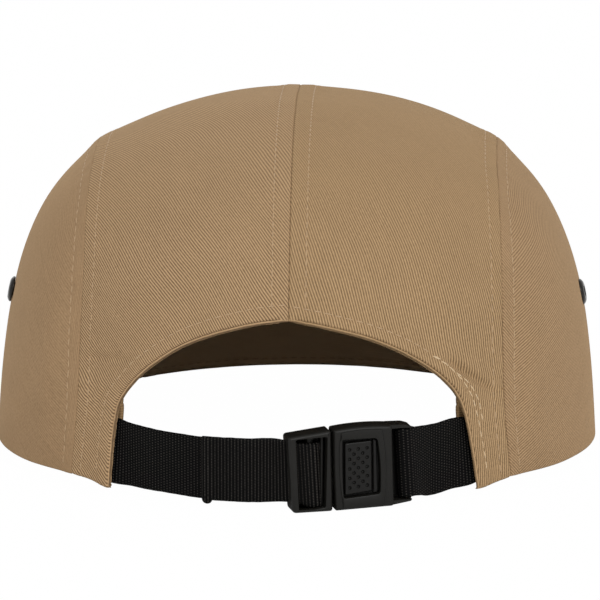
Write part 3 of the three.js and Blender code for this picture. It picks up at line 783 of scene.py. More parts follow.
def buildBackPanel(side, name):
    split, own = cloth["seamRows"], leg[side]
    b = np.concatenate([gathered(150, 0.5) * split, mix(split, 1.0, gathered(90, 0.3)[1:])])[:, None]
    a = gathered(110)[None, :]
    innerU, innerS, outerS = backEdges(b, side)
    u, s = mix(innerU, 1.0, a), mix(innerS, outerS, a)
    points = strip(side * u, s)
    width = halfCloth(s)
    x, y = u * width, s * crownLength
    toSide, up = (1 - u) * width, (1 - s) * crownLength
    toArch, alongHem = nearest(stack(x, y), archLines[side])
    above = smoothstep(own["facingLow"], own["facingHigh"], up)
    facingAt = cloth["facingAt"] * mix(own["facingWidth"], 1.0, above)
    faced = facedEdge(facingAt, mix(own["facingDepth"], 1.0, above))
    relief = sewnRelief([
        (x, y, cloth["centreStitch"], groove),
        (toSide, y, cloth["sideStitch"], sideGroove(side)),
        ((s - crown["frontSeam"]) * crownLength, x, cloth["frontStitch"], groove),
        (toArch, alongHem, cloth["hemStitch"][side], faced),
        (up, x, None, roll),
    ], seed=3.7 * side)
    points = lifted(points, relief + creaseRelief(side, toSide, up) + waves(points))
    hung = bell(toArch, own["reach"]) * smoothstep(own["footUp"], 0, up)
    points = points - hung[..., None] * (0, 0, own["drop"])
    bm = clothGrid(points, backCloth(side, x, y, toSide, up))
    # the narrow facing at the opening is cut along its edge
    shift = cloth["facingShift"]
    layGrain(bm, stack(toArch - shift, alongHem), toArch < facingAt + shift)
    return buildWall(bm, name, shadedBackTwill[side], cloth["wall"])


def backStitchPaths(side):
    frontEdge = crown["frontSeam"] + cloth["frontStitch"] / crownLength
    s = np.linspace(frontEdge, 1, 200)
    centreS = s[s < archShare[0] - 1.0 / crownLength]
    u = np.linspace(0.01, 0.99, 60)
    archLine = archLines[side]
    offset = np.gradient(archLine, axis=0)
    offset = unit(stack(offset[:, 1], -offset[:, 0]))
    hem = archLine + cloth["hemStitch"][side] * offset * np.sign(offset[:1, 1] * -1)
    hemShare = np.minimum(hem[:, 1] / crownLength, 1)
    paths = {
        "centre": strip(side * cloth["centreStitch"] / halfCloth(centreS), centreS),
        "side": strip(side * (1 - cloth["sideStitch"] / halfCloth(s)), s),
        "front": strip(side * u, frontEdge),
        "hem": strip(side * hem[:, 0] / halfCloth(hemShare), hemShare),
    }
    if side < 0:
        up = crownLength - hem[:, 1]
        onLeg = up < secondHem["up"][-1]
        again = onLeg & (up > secondHem["up"][0])
        askew = np.interp(up[again], secondHem["up"], secondHem["askew"])
        share = hemShare[again]
        paths["hem again"] = strip(side * (hem[again, 0] + askew) / halfCloth(share), share)
        paths["hem on the leg"], paths["hem"] = paths["hem"][onLeg], paths["hem"][~onLeg]
    return paths


def buildFrontPanel():
    s = (gathered(90, 0.6) * crown["frontSeam"])[:, None]
    s, u = np.broadcast_arrays(s, (gathered(120) * 2 - 1)[None, :])
    points = strip(u, s)
    width = halfCloth(s)
    x, y = u * width, s * crownLength
    relief = sewnRelief([
        ((1 - np.abs(u)) * width, y, cloth["sideStitch"], groove),
        ((crown["frontSeam"] - s) * crownLength, x, cloth["frontStitch"], groove),
        (y, x, None, roll),
    ], seed=9.1)
    points = lifted(points, relief + waves(points))
    bm = clothGrid(points, grain(x, y, cloth["frontSteepness"]))
    return buildWall(bm, "front_panel", twill, cloth["wall"])


def frontStitchPaths():
    seam = crown["frontSeam"] - cloth["frontStitch"] / crownLength
    s = np.linspace(0.004, seam, 80)
    edge = 1 - cloth["sideStitch"] / halfCloth(s)
    return [strip(edge, s), strip(-edge, s), strip(np.linspace(-0.94, 0.94, 120), seam)]


# the side panel fills the outline rim, front seam, top seam, rear seam; read smoothly from a coarse net
def sidePatch():
    front, rear = crown["shoulderFront"], crown["shoulderRear"]
    a = np.linspace(0, 1, 17)[None, :]
    b = np.linspace(0, 1, 9)[:, None]

    def seam(s):
        return strip(np.ones_like(s), s)

    rimY = mix(crown["seamFrontY"], crown["seamRearY"], a)
    rim = stack(rimX(rimY), rimY, rimZ(rimY))
    # the rim ends where the seams end
    rim = rim + (seam(np.zeros((1, 1))) - rim[:, :1]) * smoothstep(0.15, 0, a)[..., None]
    rim = rim + (seam(np.ones((1, 1))) - rim[:, -1:]) * smoothstep(0.85, 1, a)[..., None]
    top, ahead, behind = seam(mix(front, rear, a)), seam(front * b), seam(mix(1.0, rear, b))
    across, up = a[..., None], b[..., None]
    corners = mix(mix(rim[:, :1], rim[:, -1:], across), mix(top[:, :1], top[:, -1:], across), up)
    net = mix(rim, top, up) + mix(ahead, behind, across) - corners
    net[1:-1, 1:-1, 0] = sideX(net[1:-1, 1:-1, 1], net[1:-1, 1:-1, 2])
    net[0, :] = rim[0]
    alongRows = naturalSpline(b[:, 0], net)

    def read(aFine, bFine):
        rows = alongRows(bFine)
        return np.swapaxes(naturalSpline(a[0], np.swapaxes(rows, 0, 1))(aFine), 0, 1)

    return read


readSide = sidePatch()

# within the seam allowance the ribs lean the other way
sideGrain = {
    1: {"steepness": 147, "edgeSteepness": 96, "edgeSpread": 1.3},
    -1: {"steepness": 25, "edgeSteepness": 47, "edgeSpread": 1.1},
}

eyelet = {
    "y": 8.0, "z": 49.4, "outer": 4.0, "rim": 3.2, "bore": 1.6, "proud": 1.1,
    "drawn": 0.35, "drawnReach": 4.6,  # the set eyelet draws the cloth in
    "hole": 2.2,
}


def eyeletPlace(side):
    y, z, step = eyelet["y"], eyelet["z"], 3.0
    at, nextY, nextZ = (np.array([float(sideX(y + dy, z + dz)), y + dy, z + dz])
                        for dy, dz in ((0, 0), (step, 0), (0, step)))
    return at * (side, 1, 1), unit(np.cross(nextY - at, nextZ - at)) * (side, 1, 1)


def buildSidePanel(side, name):
    lie = sideGrain[side]
    points = readSide(gathered(150), gathered(100, 0.6))
    toSeam, alongSeam = nearest(points, seamLine)
    x = np.cumsum(np.linalg.norm(np.gradient(points, axis=1), axis=-1), axis=1)
    x = np.interp(points[..., 1], points[0, :, 1], x[0])
    toRim = np.cumsum(np.linalg.norm(np.gradient(points, axis=0), axis=-1), axis=0)
    y = points[..., 2] + 0.5 * (rimX(points[..., 1]) - points[..., 0])
    relief = sewnRelief([
        (toSeam, alongSeam, cloth["sideStitch"], sideGroove(side)),
        (toRim, x, None, roll),
    ], seed=14.3)
    at = eyeletPlace(side)[0]
    points = points * (side, 1, 1)
    toEyelet = np.linalg.norm(points - at, axis=-1)
    relief = relief - eyelet["drawn"] * np.exp(-((toEyelet / eyelet["drawnReach"]) ** 4))
    points = lifted(points, relief + waves(points))
    aside = wobble("side", x, y, 3 * side)
    bm = clothGrid(points, grain(side * x + aside, -y, lie["steepness"]))
    edging = grain(-side * toSeam, -alongSeam, lie["edgeSteepness"]) * lie["edgeSpread"]
    layGrain(bm, edging, toSeam < cloth["sideStitch"])
    middle = Vector(toWorld(at))
    hole = [f for f in bm.faces if (f.calc_center_median() - middle).length < eyelet["hole"] * mm]
    bmesh.ops.delete(bm, geom=hole, context="FACES")
    return buildWall(bm, name, shadedSideTwill[side], cloth["wall"])


# runs beside the seam on the side panel, from the front rim to the rear rim
def sideStitchPath(side):
    s = np.linspace(0.004, 0.996, 300)
    seam = strip(1.0, s)
    inwards = unit(np.cross(outward(seam), np.gradient(seam, axis=0)))
    return (seam - cloth["sideStitch"] * np.sign(inwards[150, 2]) * inwards) * (side, 1, 1)


def buildCrown():
    for side, word in words.items():
        back = buildBackPanel(side, "back_panel_" + word)
        flank = buildSidePanel(side, "side_panel_" + word)
        paths = backStitchPaths(side)
        pale = [paths.pop(key) for key in ("hem on the leg", "hem again") if key in paths]
        sew("back_stitches_" + word, paths.values(), back, thread)
        if pale:
            sew("leg_stitches_" + word, pale, back, paleThread)
        sew("side_stitches_" + word, [sideStitchPath(side)], flank, thread)
    sew("front_stitches", frontStitchPaths(), buildFrontPanel(), thread)


buildCrown()
print("crown panels and their stitches are sewn")


# Sweatband

band = {
    "depth": 2.4, "height": 27.0, "wall": 1.2,
    "lift": 0.6, "drop": 3.0,          # its lower edge above the rim, and below it behind the brim
    "endRise": 3.0,                    # its ends reach a little higher
    "endStep": 1.9,                    # the ends step inwards over the straps
    "endU": {1: 0.801, -1: 0.792},
    "lowerStitch": 1.5, "hem": 3.0,    # from its lower and its upper edge
    "hemDepth": 0.35, "ripple": 0.25,
    "brimFrom": 40, "brimTo": 62,      # how far in front of the middle it drops behind the brim
    "brimArch": 0.7,                   # the drop lessens by this at 50 mm from the middle
}


# the crown's points at one height above the rim, from the +X foot of the opening round to the -X foot
def bandRow(height):
    sideY = np.linspace(crown["seamRearY"], crown["seamFrontY"], 150)
    z = rimZ(sideY) + height
    ends = [np.concatenate([
        strip(side * np.linspace(band["endU"][side], 1.0, 26)[:-1], 1 - height / crownLength),
        stack(side * sideX(sideY, z), sideY, z),
    ]) for side in words]
    ahead = strip(np.linspace(1.0, -1.0, 150)[1:-1], height / crownLength)
    return np.concatenate([ends[0], ahead, ends[1][::-1]])


def buildSweatband():
    low, middle, high = (bandRow(height) for height in (band["lift"], band["height"] * 0.5, band["height"]))
    behindBrim = smoothstep(band["brimFrom"], band["brimTo"], -low[:, 1])
    drop = band["drop"] - band["brimArch"] * (low[:, 0] / 50) ** 2
    lower = low - np.array([0, 0, 1.0]) * ((drop + band["lift"]) * behindBrim)[:, None]
    run = lengths(low)
    fromEnd = np.minimum(run, run[-1] - run)
    high = high + np.array([0, 0, band["endRise"]]) * smoothstep(12, 4, fromEnd)[:, None]
    bow = middle - (low + high) / 2
    rows = np.stack([mix(lower, high, t) + 4 * t * (1 - t) * bow for t in gathered(34, 0.4)], 1)
    step = band["endStep"] * (1 - smoothstep(9, 30, fromEnd))
    up = lengths(rows[len(rows) // 2])[None, :]
    toTop = up[0, -1] - up
    relief = dimple(up, band["lowerStitch"]) + dimple(toTop, band["hem"]) + roll(toTop) + roll(up)
    relief = relief - band["hemDepth"] * smoothstep(band["hem"] + 0.8, band["hem"] - 0.4, toTop)
    x = run[:, None]
    # the band faces inwards, so its relief is turned over
    relief = relief * -1 + band["ripple"] * softNoise(x / 7, up / 12, 5.5)
    points = rows - outward(rows) * (band["depth"] + step[:, None] - relief)[..., None]
    inner = points - outward(points) * band["wall"]
    buildWall(clothGrid(points, grain(x, up, 2)), "sweatband", bandTwill, band["wall"])
    return [inner[3:-3, np.argmin(np.abs(up[0] - height))]
            for height in (band["lowerStitch"] + 0.3, up[0, -1] - band["hem"])]


bandTwill = cottonTwill("khaki twill tape, sweatband", "#8a6e4d", "#b8966c", relief=0.05, clear=0.6,
                        paler="#c6ae8e")
bandStitches = [stitch for path in buildSweatband() for stitch in ontoInside(path)]
makeStitches("sweatband_stitches", bandStitches, thread)
print("sweatband is in")


# Brim

brim = {
    "thickness": 3.0, "tipThickness": 1.6, "frontY": -168.6, "halfWidth": 84.0, "widestY": -98.0,
    "corner": 2.5, "arch": 0.000817, "slope": 0.019, "temple": 57.0, "tip": 1.8, "straight": 0.82,
    "under": 1.5,                      # its inner edge lies under the crown's cloth
    "stitchRows": 7, "firstRow": 5.0, "rowPitch": 6.2, "dimple": 0.22, "dimpleWidth": 0.7,
    "edgeDrop": 0.12, "edgeWidth": 1.2, "drape": 0.18, "drapeLength": 26,
    "seamGroove": 0.35, "seamWidth": 0.18, "steepness": 58,
    "rimFrom": 0.985,                  # share of the way out where the edge starts to turn under
}

brimRows = [brim["firstRow"] + row * brim["rowPitch"] for row in range(brim["stitchRows"])]


def brimTop(x, y):
    middle = float(rimZ(-crown["front"])) - 0.4
    return middle - brim["arch"] * x * x + brim["slope"] * (y + crown["front"])


# plan of the brim: c -1..1 from end to end, b 0..1 from the crown to the outer edge
def brimPlan(c, b):
    temple, straight, power = math.radians(brim["temple"]), brim["straight"], 2 / brim["corner"]
    inner = 1 - brim["under"] / crown["halfWidth"]
    wide, deep = crown["halfWidth"] * inner, -crown["front"] * inner
    size = np.abs(c)
    t = (np.pi / 2) * np.clip(size / straight, 0, 1)
    roundX = brim["halfWidth"] * np.sin(t) ** power
    roundY = brim["widestY"] + (brim["frontY"] - brim["widestY"]) * np.clip(np.cos(t), 0, 1) ** power
    back = np.clip((size - straight) / (1 - straight), 0, 1)
    backX = mix(brim["halfWidth"], wide * math.sin(temple) + brim["tip"], back**2)
    backY = mix(brim["widestY"], deep * math.cos(temple), back)
    outerX, outerY = np.where(size < straight, (roundX, roundY), (backX, backY))
    return mix(wide * np.sin(temple * c), np.sign(c) * outerX, b), mix(deep * np.cos(temple * c), outerY, b)


# shares that follow the outer edge evenly, although the superellipse is steep at the front and the corners
def brimColumns(count):
    fine = np.linspace(-1, 1, 4001)
    outer, inner = (lengths(stack(*brimPlan(fine, b))) for b in (1.0, 0.0))
    return np.interp(np.linspace(0, 2, count + 1), outer / outer[-1] + inner / inner[-1], fine)


def buildBrim():
    c = brimColumns(230)
    inner, outer = (stack(*brimPlan(c, b)) for b in (brim["rimFrom"], 1.0))
    flat = np.concatenate([np.linspace(0, 0.9, 76), np.linspace(0.9, brim["rimFrom"], 12)[1:]])
    thick = mix(brim["thickness"], brim["tipThickness"], smoothstep(0.8, 1.0, np.abs(c)))

    def face(b, under):
        x, y = brimPlan(np.broadcast_to(c, (len(b), len(c))), b[:, None])
        toEdge = nearest(stack(x, y), outer[::2])[0]
        relief = -brim["edgeDrop"] * (1 - smoothstep(0, brim["edgeWidth"], toEdge))
        for at in brimRows:
            relief = relief - brim["dimple"] * bell(toEdge - at, brim["dimpleWidth"])
        drape = brim["drape"] * softNoise(x / brim["drapeLength"], y / brim["drapeLength"], 7.7)
        z = brimTop(x, y) + (-thick - relief + drape if under else relief + drape)
        return stack(x, y, z), stack(x, y)

    top, topCloth = face(flat, False)
    below, belowCloth = face(flat[::-1], True)
    rim, rimCloth = [], []
    outwards = outer - inner
    for turn in np.linspace(0, np.pi, 15)[1:-1]:
        away = math.sin(turn) - brim["seamGroove"] * bell(turn - math.pi / 2, brim["seamWidth"])
        z = mix(top[-1, :, 2], below[0, :, 2], (1 - math.cos(turn)) / 2)
        rim.append(np.concatenate([inner + outwards * away, z[:, None]], -1))
        # the cloth goes round the edge, to the seam halfway down
        gone = min(turn, math.pi - turn) * thick[:, None] / 2
        rimCloth.append(inner + unit(outwards) * gone)
    x, y = np.moveaxis(np.concatenate([topCloth, rimCloth, belowCloth, topCloth[:1]]), -1, 0)
    bm = clothGrid(np.concatenate([top, rim, below, top[:1]]), grain(x, y, brim["steepness"]))
    closeUp(bm)
    surface = BVHTree.FromBMesh(bm)
    link("brim_twill", toMesh(bm, "brim"), twill, ["brim"])
    return surface


# rows of topstitching parallel to the brim's edge, on its upper and lower face
def brimStitchPaths():
    c = np.linspace(-0.985, 0.985, 500)
    fine = stack(*brimPlan(c[None, :], np.linspace(0.03, 0.99, 90)[:, None]))
    distance = nearest(fine, stack(*brimPlan(c, 1.0)))[0]
    paths = []
    for at in brimRows:
        path = []
        for k in np.flatnonzero(distance[0] >= at + 1.0):
            share = np.interp(-at, -distance[:, k], np.arange(len(fine)))
            low = int(share)
            path.append(mix(fine[low, k], fine[min(low + 1, len(fine) - 1), k], share - low))
        if len(path) > 20:
            x, y = np.array(path).T
            paths += [stack(x, y, brimTop(x, y) + side) for side in (0.1, -brim["thickness"] - 0.1)]
    return paths


brimSurface = buildBrim()
sew("brim_stitches", brimStitchPaths(), brimSurface, thread)
print("brim is stitched")


# Straps

strap = {
    "wall": 1.4, "radius": 75.0, "rear": 98.6,
    "leftHalf": 9.3, "rightHalf": 10.35,   # half the webbing's height
    # places across and heights of the webbing's middle over the floor, from the photograph
    "leftRun": [(47.5, 12.7), (43.75, 12.4), (38, 12.05), (32, 11.75), (26, 11.4), (20, 11.3), (12, 11.3),
                (6, 11.4)],
    "rightRun": [(-47.5, 13.45), (-44.5, 13.0), (-41, 12.7)],
    # inside the legs: share of the half width and height of the lower edge, and height of the upper edge
    "leftLeg": [(0.93, 5.5), (0.87, 4.9), (0.82, 3.8)], "leftLegTop": 23.3,
    "rightLeg": [(-0.93, 5.5), (-0.87, 4.6), (-0.815, 3.6)], "rightLegTop": 24.0,
    "rib": 1.0, "perRib": 6,           # ribs run across the webbing
    "dot": 0.8,                        # its floats, bright with painted highlights, are 0.4 mm long; these show at this size
    "dotDepth": 0.08, "ribDepth": 0.2, "faceShift": 100.0,
    "hemLength": 3.0, "hemSwell": 0.4, "hemDrop": 1.1, "fray": 0.07,
    "inset": 1.9,                      # outer face of a leg to the webbing inside it
    "strandGap": 0.15,                 # half the gap between the left strand and its tail
    "nearBar": -15.5,                  # where it enters the adjuster's window
    "tailFrom": 11, "tailTo": 24.9, "tailHeight": 11.7,
}

buckle = {
    "x": -17.5, "z": 12.4, "yaw": 13.5, "roll": 3.3,
    "frameBar": -11.2, "frameBarRadius": 1.1,
    "slotBar": 17.4, "slotBarRadius": 1.2,
    "clearance": 0.4,                  # between a bar and the webbing round it
}

webbing = ribbedWebbing("black nylon webbing")


# buckle axes: along the strap to the right as seen, up, out towards the viewer
def buckleAxes():
    yaw, roll = math.radians(buckle["yaw"]), math.radians(buckle["roll"])
    out = np.array([-math.sin(yaw), math.cos(yaw), 0.0])
    along = np.array([-math.cos(yaw) * math.cos(roll), -math.sin(yaw) * math.cos(roll), math.sin(roll)])
    angle = math.asin(buckle["x"] / strap["radius"])
    place = np.array([buckle["x"], strap["rear"] - strap["radius"] * (1 - math.cos(angle)), buckle["z"]])
    return place, np.stack([along, np.cross(out, along), out])


bucklePlace, buckleTurn = buckleAxes()


def fromBuckle(points):
    return bucklePlace + np.asarray(points, float) @ buckleTurn


# stations are the low and the high edge of the webbing's middle plane
def onCurve(x, out, z, half):
    angle = math.asin(x / strap["radius"])
    reach = strap["radius"] + out
    middle = [reach * math.sin(angle), strap["rear"] - strap["radius"] + reach * math.cos(angle)]
    return [[*middle, z - half], [*middle, z + half]]


# inside a leg of the opening, between two heights
def inLeg(u, low, high):
    line = strip(u, np.linspace(0.75, 1.02, 120)[::-1])
    return [p - outward(p) * (strap["inset"] + strap["wall"] / 2)
            for p in (readAt(z, line[:, 2], line) for z in (low, high))]


def inBuckle(along, out, half, lower=0.0):
    return fromBuckle([[along, -half - lower, out], [along, half - lower, out]])


def aroundBar(bar, angles, half, lower=0.0):
    turn = buckle[bar + "Radius"] + buckle["clearance"] + strap["wall"] / 2
    return [inBuckle(buckle[bar] + turn * math.cos(angle), turn * math.sin(angle), half, lower)
            for angle in np.radians(angles)]


def leftStations():
    strand = strap["wall"] / 2 + strap["strandGap"]
    half, wide = strap["leftHalf"], strap["leftHalf"] + 0.3
    return [
        *[inLeg(u, low, strap["leftLegTop"]) for u, low in strap["leftLeg"]],
        *[onCurve(x, -strand * (1 - x / 60), z, half + 0.3 * max(0, x - 38) / 9.5)
          for x, z in strap["leftRun"]],
        inBuckle(strap["nearBar"], -strand - 0.4, half, 0.2),
        *aroundBar("frameBar", np.linspace(-100, 100, 9), half + 0.35, 0.95),
        inBuckle(strap["nearBar"], strand + 0.4, half),
        onCurve(5, strand + 0.1, 12.0, wide),
        *[onCurve(x, strand * (1 + x / 60), strap["tailHeight"], wide)
          for x in np.linspace(strap["tailFrom"], strap["tailTo"], 5)],
    ]


def rightStations():
    half = strap["rightHalf"]
    return [
        *[inLeg(u, low, strap["rightLegTop"]) for u, low in strap["rightLeg"]],
        *[onCurve(x, 0.9 * (50 + x) / 9, z, half + 0.4) for x, z in strap["rightRun"]],
        *aroundBar("slotBar", np.linspace(50, 275, 10), half),
        *[onCurve(x, -1.1 - 0.12 * (x + 40), 12.1 - 0.1 * (x + 40), half - 0.4) for x in (-40.5, -44.2, -48)],
    ]


# half section of webbing: share of the height and of the wall, round one edge and back
def webSection(height):
    edge = strap["wall"] / height
    turns = np.radians(np.linspace(90, -90, 7)[1:-1])
    front = [(h * (1 - edge), 1.0) for h in np.linspace(-1, 1, 15)]
    top = [(1 - edge + edge * math.cos(t), math.sin(t)) for t in turns]
    back, bottom = ([(-h, -w) for h, w in part] for part in (front, top))
    return np.array(front + top + back + bottom + front[:1])


# facing is 1 or -1, for which way round the webbing's dotted face is
def buildStrap(name, node, stations, facing, hemmed):
    stations = np.array(stations, float)
    middle, rise = stations.mean(1), (stations[:, 1] - stations[:, 0]) / 2
    knots = lengths(middle)
    run = np.linspace(0, knots[-1], int(knots[-1] / strap["rib"] * strap["perRib"]))
    dense = naturalSpline(knots, np.concatenate([middle, rise], 1))(run)
    middle, rise = dense[:, :3], dense[:, 3:]
    side = unit(np.cross(np.gradient(middle, axis=0), rise))
    toEnd = run[-1] - run
    hem = hemmed * (1 - smoothstep(strap["hemLength"] - 0.5, strap["hemLength"] + 0.3, toEnd))
    bulge = np.sin(np.pi * np.clip(toEnd / strap["hemLength"], 0, 1))
    half = np.linalg.norm(rise, axis=-1).mean()
    h, w = webSection(2 * half).T[:, None, :]
    dotted = w * facing > 0
    depth = np.where(dotted, strap["dotDepth"], strap["ribDepth"])
    ribs = depth / 2 * ((1 - hem) * (np.cos(2 * math.pi * run / strap["rib"]) - 1))[:, None]
    wall = strap["wall"] / 2 + ribs + (strap["hemSwell"] * hem * bulge ** 0.6)[:, None]
    fray = strap["fray"] * softNoise(run[:, None] / 2.2, h * 40, 3.1)
    points = middle[:, None, :] + rise[:, None, :] * h[..., None] + side[:, None, :] * (w * wall)[..., None]
    points = points + rise[:, None, :] / half * (fray * np.abs(h) ** 8)[..., None]
    points[..., 2] -= (strap["hemDrop"] * hem * bulge ** 0.5)[:, None] * (h < -0.9)
    bm = clothGrid(points, stack(run[:, None], h * half + strap["faceShift"] * ~dotted))
    closeUp(bm)
    return link(name, toMesh(bm, name), webbing, [node])


buildStrap("webbing_left", "strap_left", leftStations(), 1, True)
buildStrap("webbing_right", "strap_right", rightStations(), -1, False)
print("straps are threaded")


# Side-release buckle

acetal = mouldedAcetal("black acetal, spark-eroded grain", "#131210", "#1b1a17")
acetalSmooth = mouldedAcetal("black acetal, button", "#100f0e", "#171614", 0.33)

buckleFrame = {
    "corners": [(-18.1, -11.4), (-6.0, -11.9), (-5.2, 12.3), (-18.2, 11.4)], "radii": (1.4, 0.8, 0.8, 1.0),
    "window": [(-16.1, -10.9), (-8.1, -10.6), (-6.4, 10.5), (-15.9, 10.5)], "windowCorner": 0.7,
    "back": -3.6, "front": 4.2, "edge": 0.3,
    "rounding": [(0, 0.9), (0.25, 0.35), (0.6, 0.06), (0.9, 0)],     # in from the outline, down from the face
    "lugFront": {-1: 0.2, 1: 2.3}, "ledgeFrom": {-1: 9.6, 1: 7.4},   # at the window's foot and top
}

buckleBody = {
    "corners": [(-5.2, -12.05), (12.6, -12.3), (13.3, 11.9), (-4.4, 12.2)], "bowTop": 0.45, "corner": 0.8,
    "window": [(-2.8, -8.5), (8.6, -8.1), (8.6, 8.7), (-2.5, 9.2)], "windowCorner": 1.2, "windowBow": 0.35,
    "ridge": [(-2.9, -11.6), (9.4, -11.6), (10.2, 11.1), (-2.3, 11.3)], "ridgeBow": 0.9,
    "back": -3.6, "front": 3.75, "crest": 4.2, "edge": 0.3, "floor": 1.2,
    "rounding": [(0, 0.9), (0.2, 0.4), (0.45, 0.1), (0.65, 0)],
    "upperArm": [(12.3, 10.65), (19.3, 10.65), (19.3, 10.9), (17.2, 11.7), (12.3, 12.0)],
    "lowerArm": [(11.6, -12.2), (18.0, -11.5), (18.3, -10.85), (11.6, -10.65)],
    "armBack": -3.4, "armFront": 3.0, "slotWall": 2.6,
}

button = {
    "corners": [(-2.0, -7.7), (6.15, -7.1), (6.85, 8.0), (-1.2, 7.9)],
    "floor": 1.5, "top": 3.45, "edge": 0.35,
    "columns": (0.18, 0.34, 0.5, 0.67, 0.83), "firstRow": 0.13, "rowPitch": 0.184,   # in shares of the face
    "dotRadius": 0.48, "dotDepth": 0.55,
    "lip": [(6.7, -7.9), (7.9, -7.4), (8.3, 8.0), (7.35, 8.2)], "lipTop": 3.2,
}


def box(left, right, low, high):
    return [(left, low), (right, low), (right, high), (left, high)]


# an outline with rounded corners and bowed sides, as points in order from the first corner
def outline(corners, radii, bows=0, perSide=10):
    corners = np.array(corners, float)
    count = len(corners)
    radii, bows = np.broadcast_to(radii, count), np.broadcast_to(bows, count)

    def towards(k, other):
        return corners[k % count] + unit(corners[other % count] - corners[k % count]) * radii[k % count]

    points = []
    for k, corner in enumerate(corners):
        enter, leave = towards(k, k - 1), towards(k, k + 1)
        for t in np.linspace(0, 1, 6):
            points.append((1 - t) ** 2 * enter + 2 * t * (1 - t) * corner + t * t * leave)
        run = towards(k + 1, k) - leave
        normal = unit(np.array([run[1], -run[0]]))
        for t in np.linspace(0, 1, perSide + 2)[1:-1]:
            points.append(leave + run * t + normal * bows[k] * 4 * t * (1 - t))
    return np.array(points)


# an outline moved inwards by a distance, negative to move it outwards
def shrunk(points, by):
    run = np.roll(points, -1, axis=0) - np.roll(points, 1, axis=0)
    return points + unit(stack(-run[:, 1], run[:, 0])) * by


# skins a tube through loops of equal count: each an outline, how far it is moved in, and its height out
# of the buckle
def skin(bm, loops, closed=False):
    ring = sorted(bmesh.ops.create_circle(bm, segments=len(loops[0][0]))["verts"], key=lambda v: v.index)
    rings = [ring]
    edges = list({e for v in ring for e in v.link_edges})
    for _ in loops[1:]:
        made = bmesh.ops.extrude_edge_only(bm, edges=edges)["geom"]
        fresh = {v for v in made if isinstance(v, bmesh.types.BMVert)}
        ring = [next(e.other_vert(v) for e in v.link_edges if e.other_vert(v) in fresh) for v in rings[-1]]
        edges = [e for e in made if isinstance(e, bmesh.types.BMEdge) and all(v in fresh for v in e.verts)]
        rings.append(ring)
    for ring, (points, by, out) in zip(rings, loops):
        for v, (a, b) in zip(ring, shrunk(points, by)):
            v.co = toWorld(fromBuckle([a, b, out]))
    if closed:
        bmesh.ops.remove_doubles(bm, verts=rings[0] + rings[-1], dist=1e-7)
    else:
        bmesh.ops.contextual_create(bm, geom=rings[0])
        bmesh.ops.contextual_create(bm, geom=rings[-1])


def block(bm, shape, back, front):
    skin(bm, [(shape, 0, back), (shape, 0, front)])


# up the outside of a half, over its face and down round its window
def shell(bm, f, outer, window, face, top):
    back, edge = f["back"], f["edge"]
    skin(bm, [
        (window, 0, back), (outer, edge, back), (outer, 0, back + edge),
        *[(outer, by, f["front"] - down) for by, down in f["rounding"]], *face,
        (window, -edge, top), (window, -0.08, top - 0.1), (window, 0, top - edge), (window, 0, back),
    ], closed=True)


def bar(bm, name, reach):
    along, across, out = (Vector(axis) for axis in buckleTurn)
    radius = buckle[name + "Radius"] * mm
    matrix = axesMatrix((along, -out, across), toWorld(fromBuckle([buckle[name], 0, 0])))
    bmesh.ops.create_cone(bm, cap_ends=True, segments=28, radius1=radius, radius2=radius,
                          depth=2 * reach * mm, matrix=matrix)


def finishHard(bm, node, material):
    bmesh.ops.recalc_face_normals(bm, faces=bm.faces)
    mesh = toMesh(bm, node + "_moulded")
    link(node + "_moulded", mesh, material, [node])
    mesh.set_sharp_from_angle(angle=math.radians(38))


def buildBuckleFrame():
    f = buckleFrame
    bm = bmesh.new()
    shell(bm, f, outline(f["corners"], f["radii"]), outline(f["window"], f["windowCorner"]), [], f["front"])
    back, left, low, (high, half) = f["back"], f["window"][0][0], f["window"][1][0], f["window"][2]
    middle = buckle["frameBar"]
    bar(bm, "frameBar", half + 0.6)
    # a small lug carries the bar at the foot and the top of the window
    for sign, right in ((-1, low), (1, high)):
        lug = outline(box(middle - 1.0, middle + 0.9, -0.55, 0.55), 0.3, perSide=2) + (0, sign * (half - 0.2))
        tip = f["lugFront"][sign]
        skin(bm, [(lug, 0, -1.2), (lug, 0, tip), (lug, 0.2, tip + 0.2)])
        # ledges behind the webbing's edges close the window above and below it
        ledge = outline(box(left - 0.3, right + 0.3, f["ledgeFrom"][sign], half + 0.3), 0.2)
        ledge = ledge if sign > 0 else (ledge * (1, -1))[::-1]
        block(bm, ledge, back + 0.02, back + 0.55)
    # the wall behind the bar, with the root of the prongs standing on it
    start, reach = middle + 2.9, half + 0.3
    wall = outline([(start, -reach), (low + 0.8, -reach), (high + 0.5, reach), (start, reach)], 0.3)
    block(bm, wall, back + 0.3, back + 1.3)
    root = outline([(low - 1.2, -half), (low - 0.3, -half), (high - 0.6, half), (high - 1.5, half)], 0.3)
    skin(bm, [(root, 0, back + 1.2), (root, 0, 1.0), (root, 0.2, 1.25)])
    finishHard(bm, "buckle_frame", acetal)


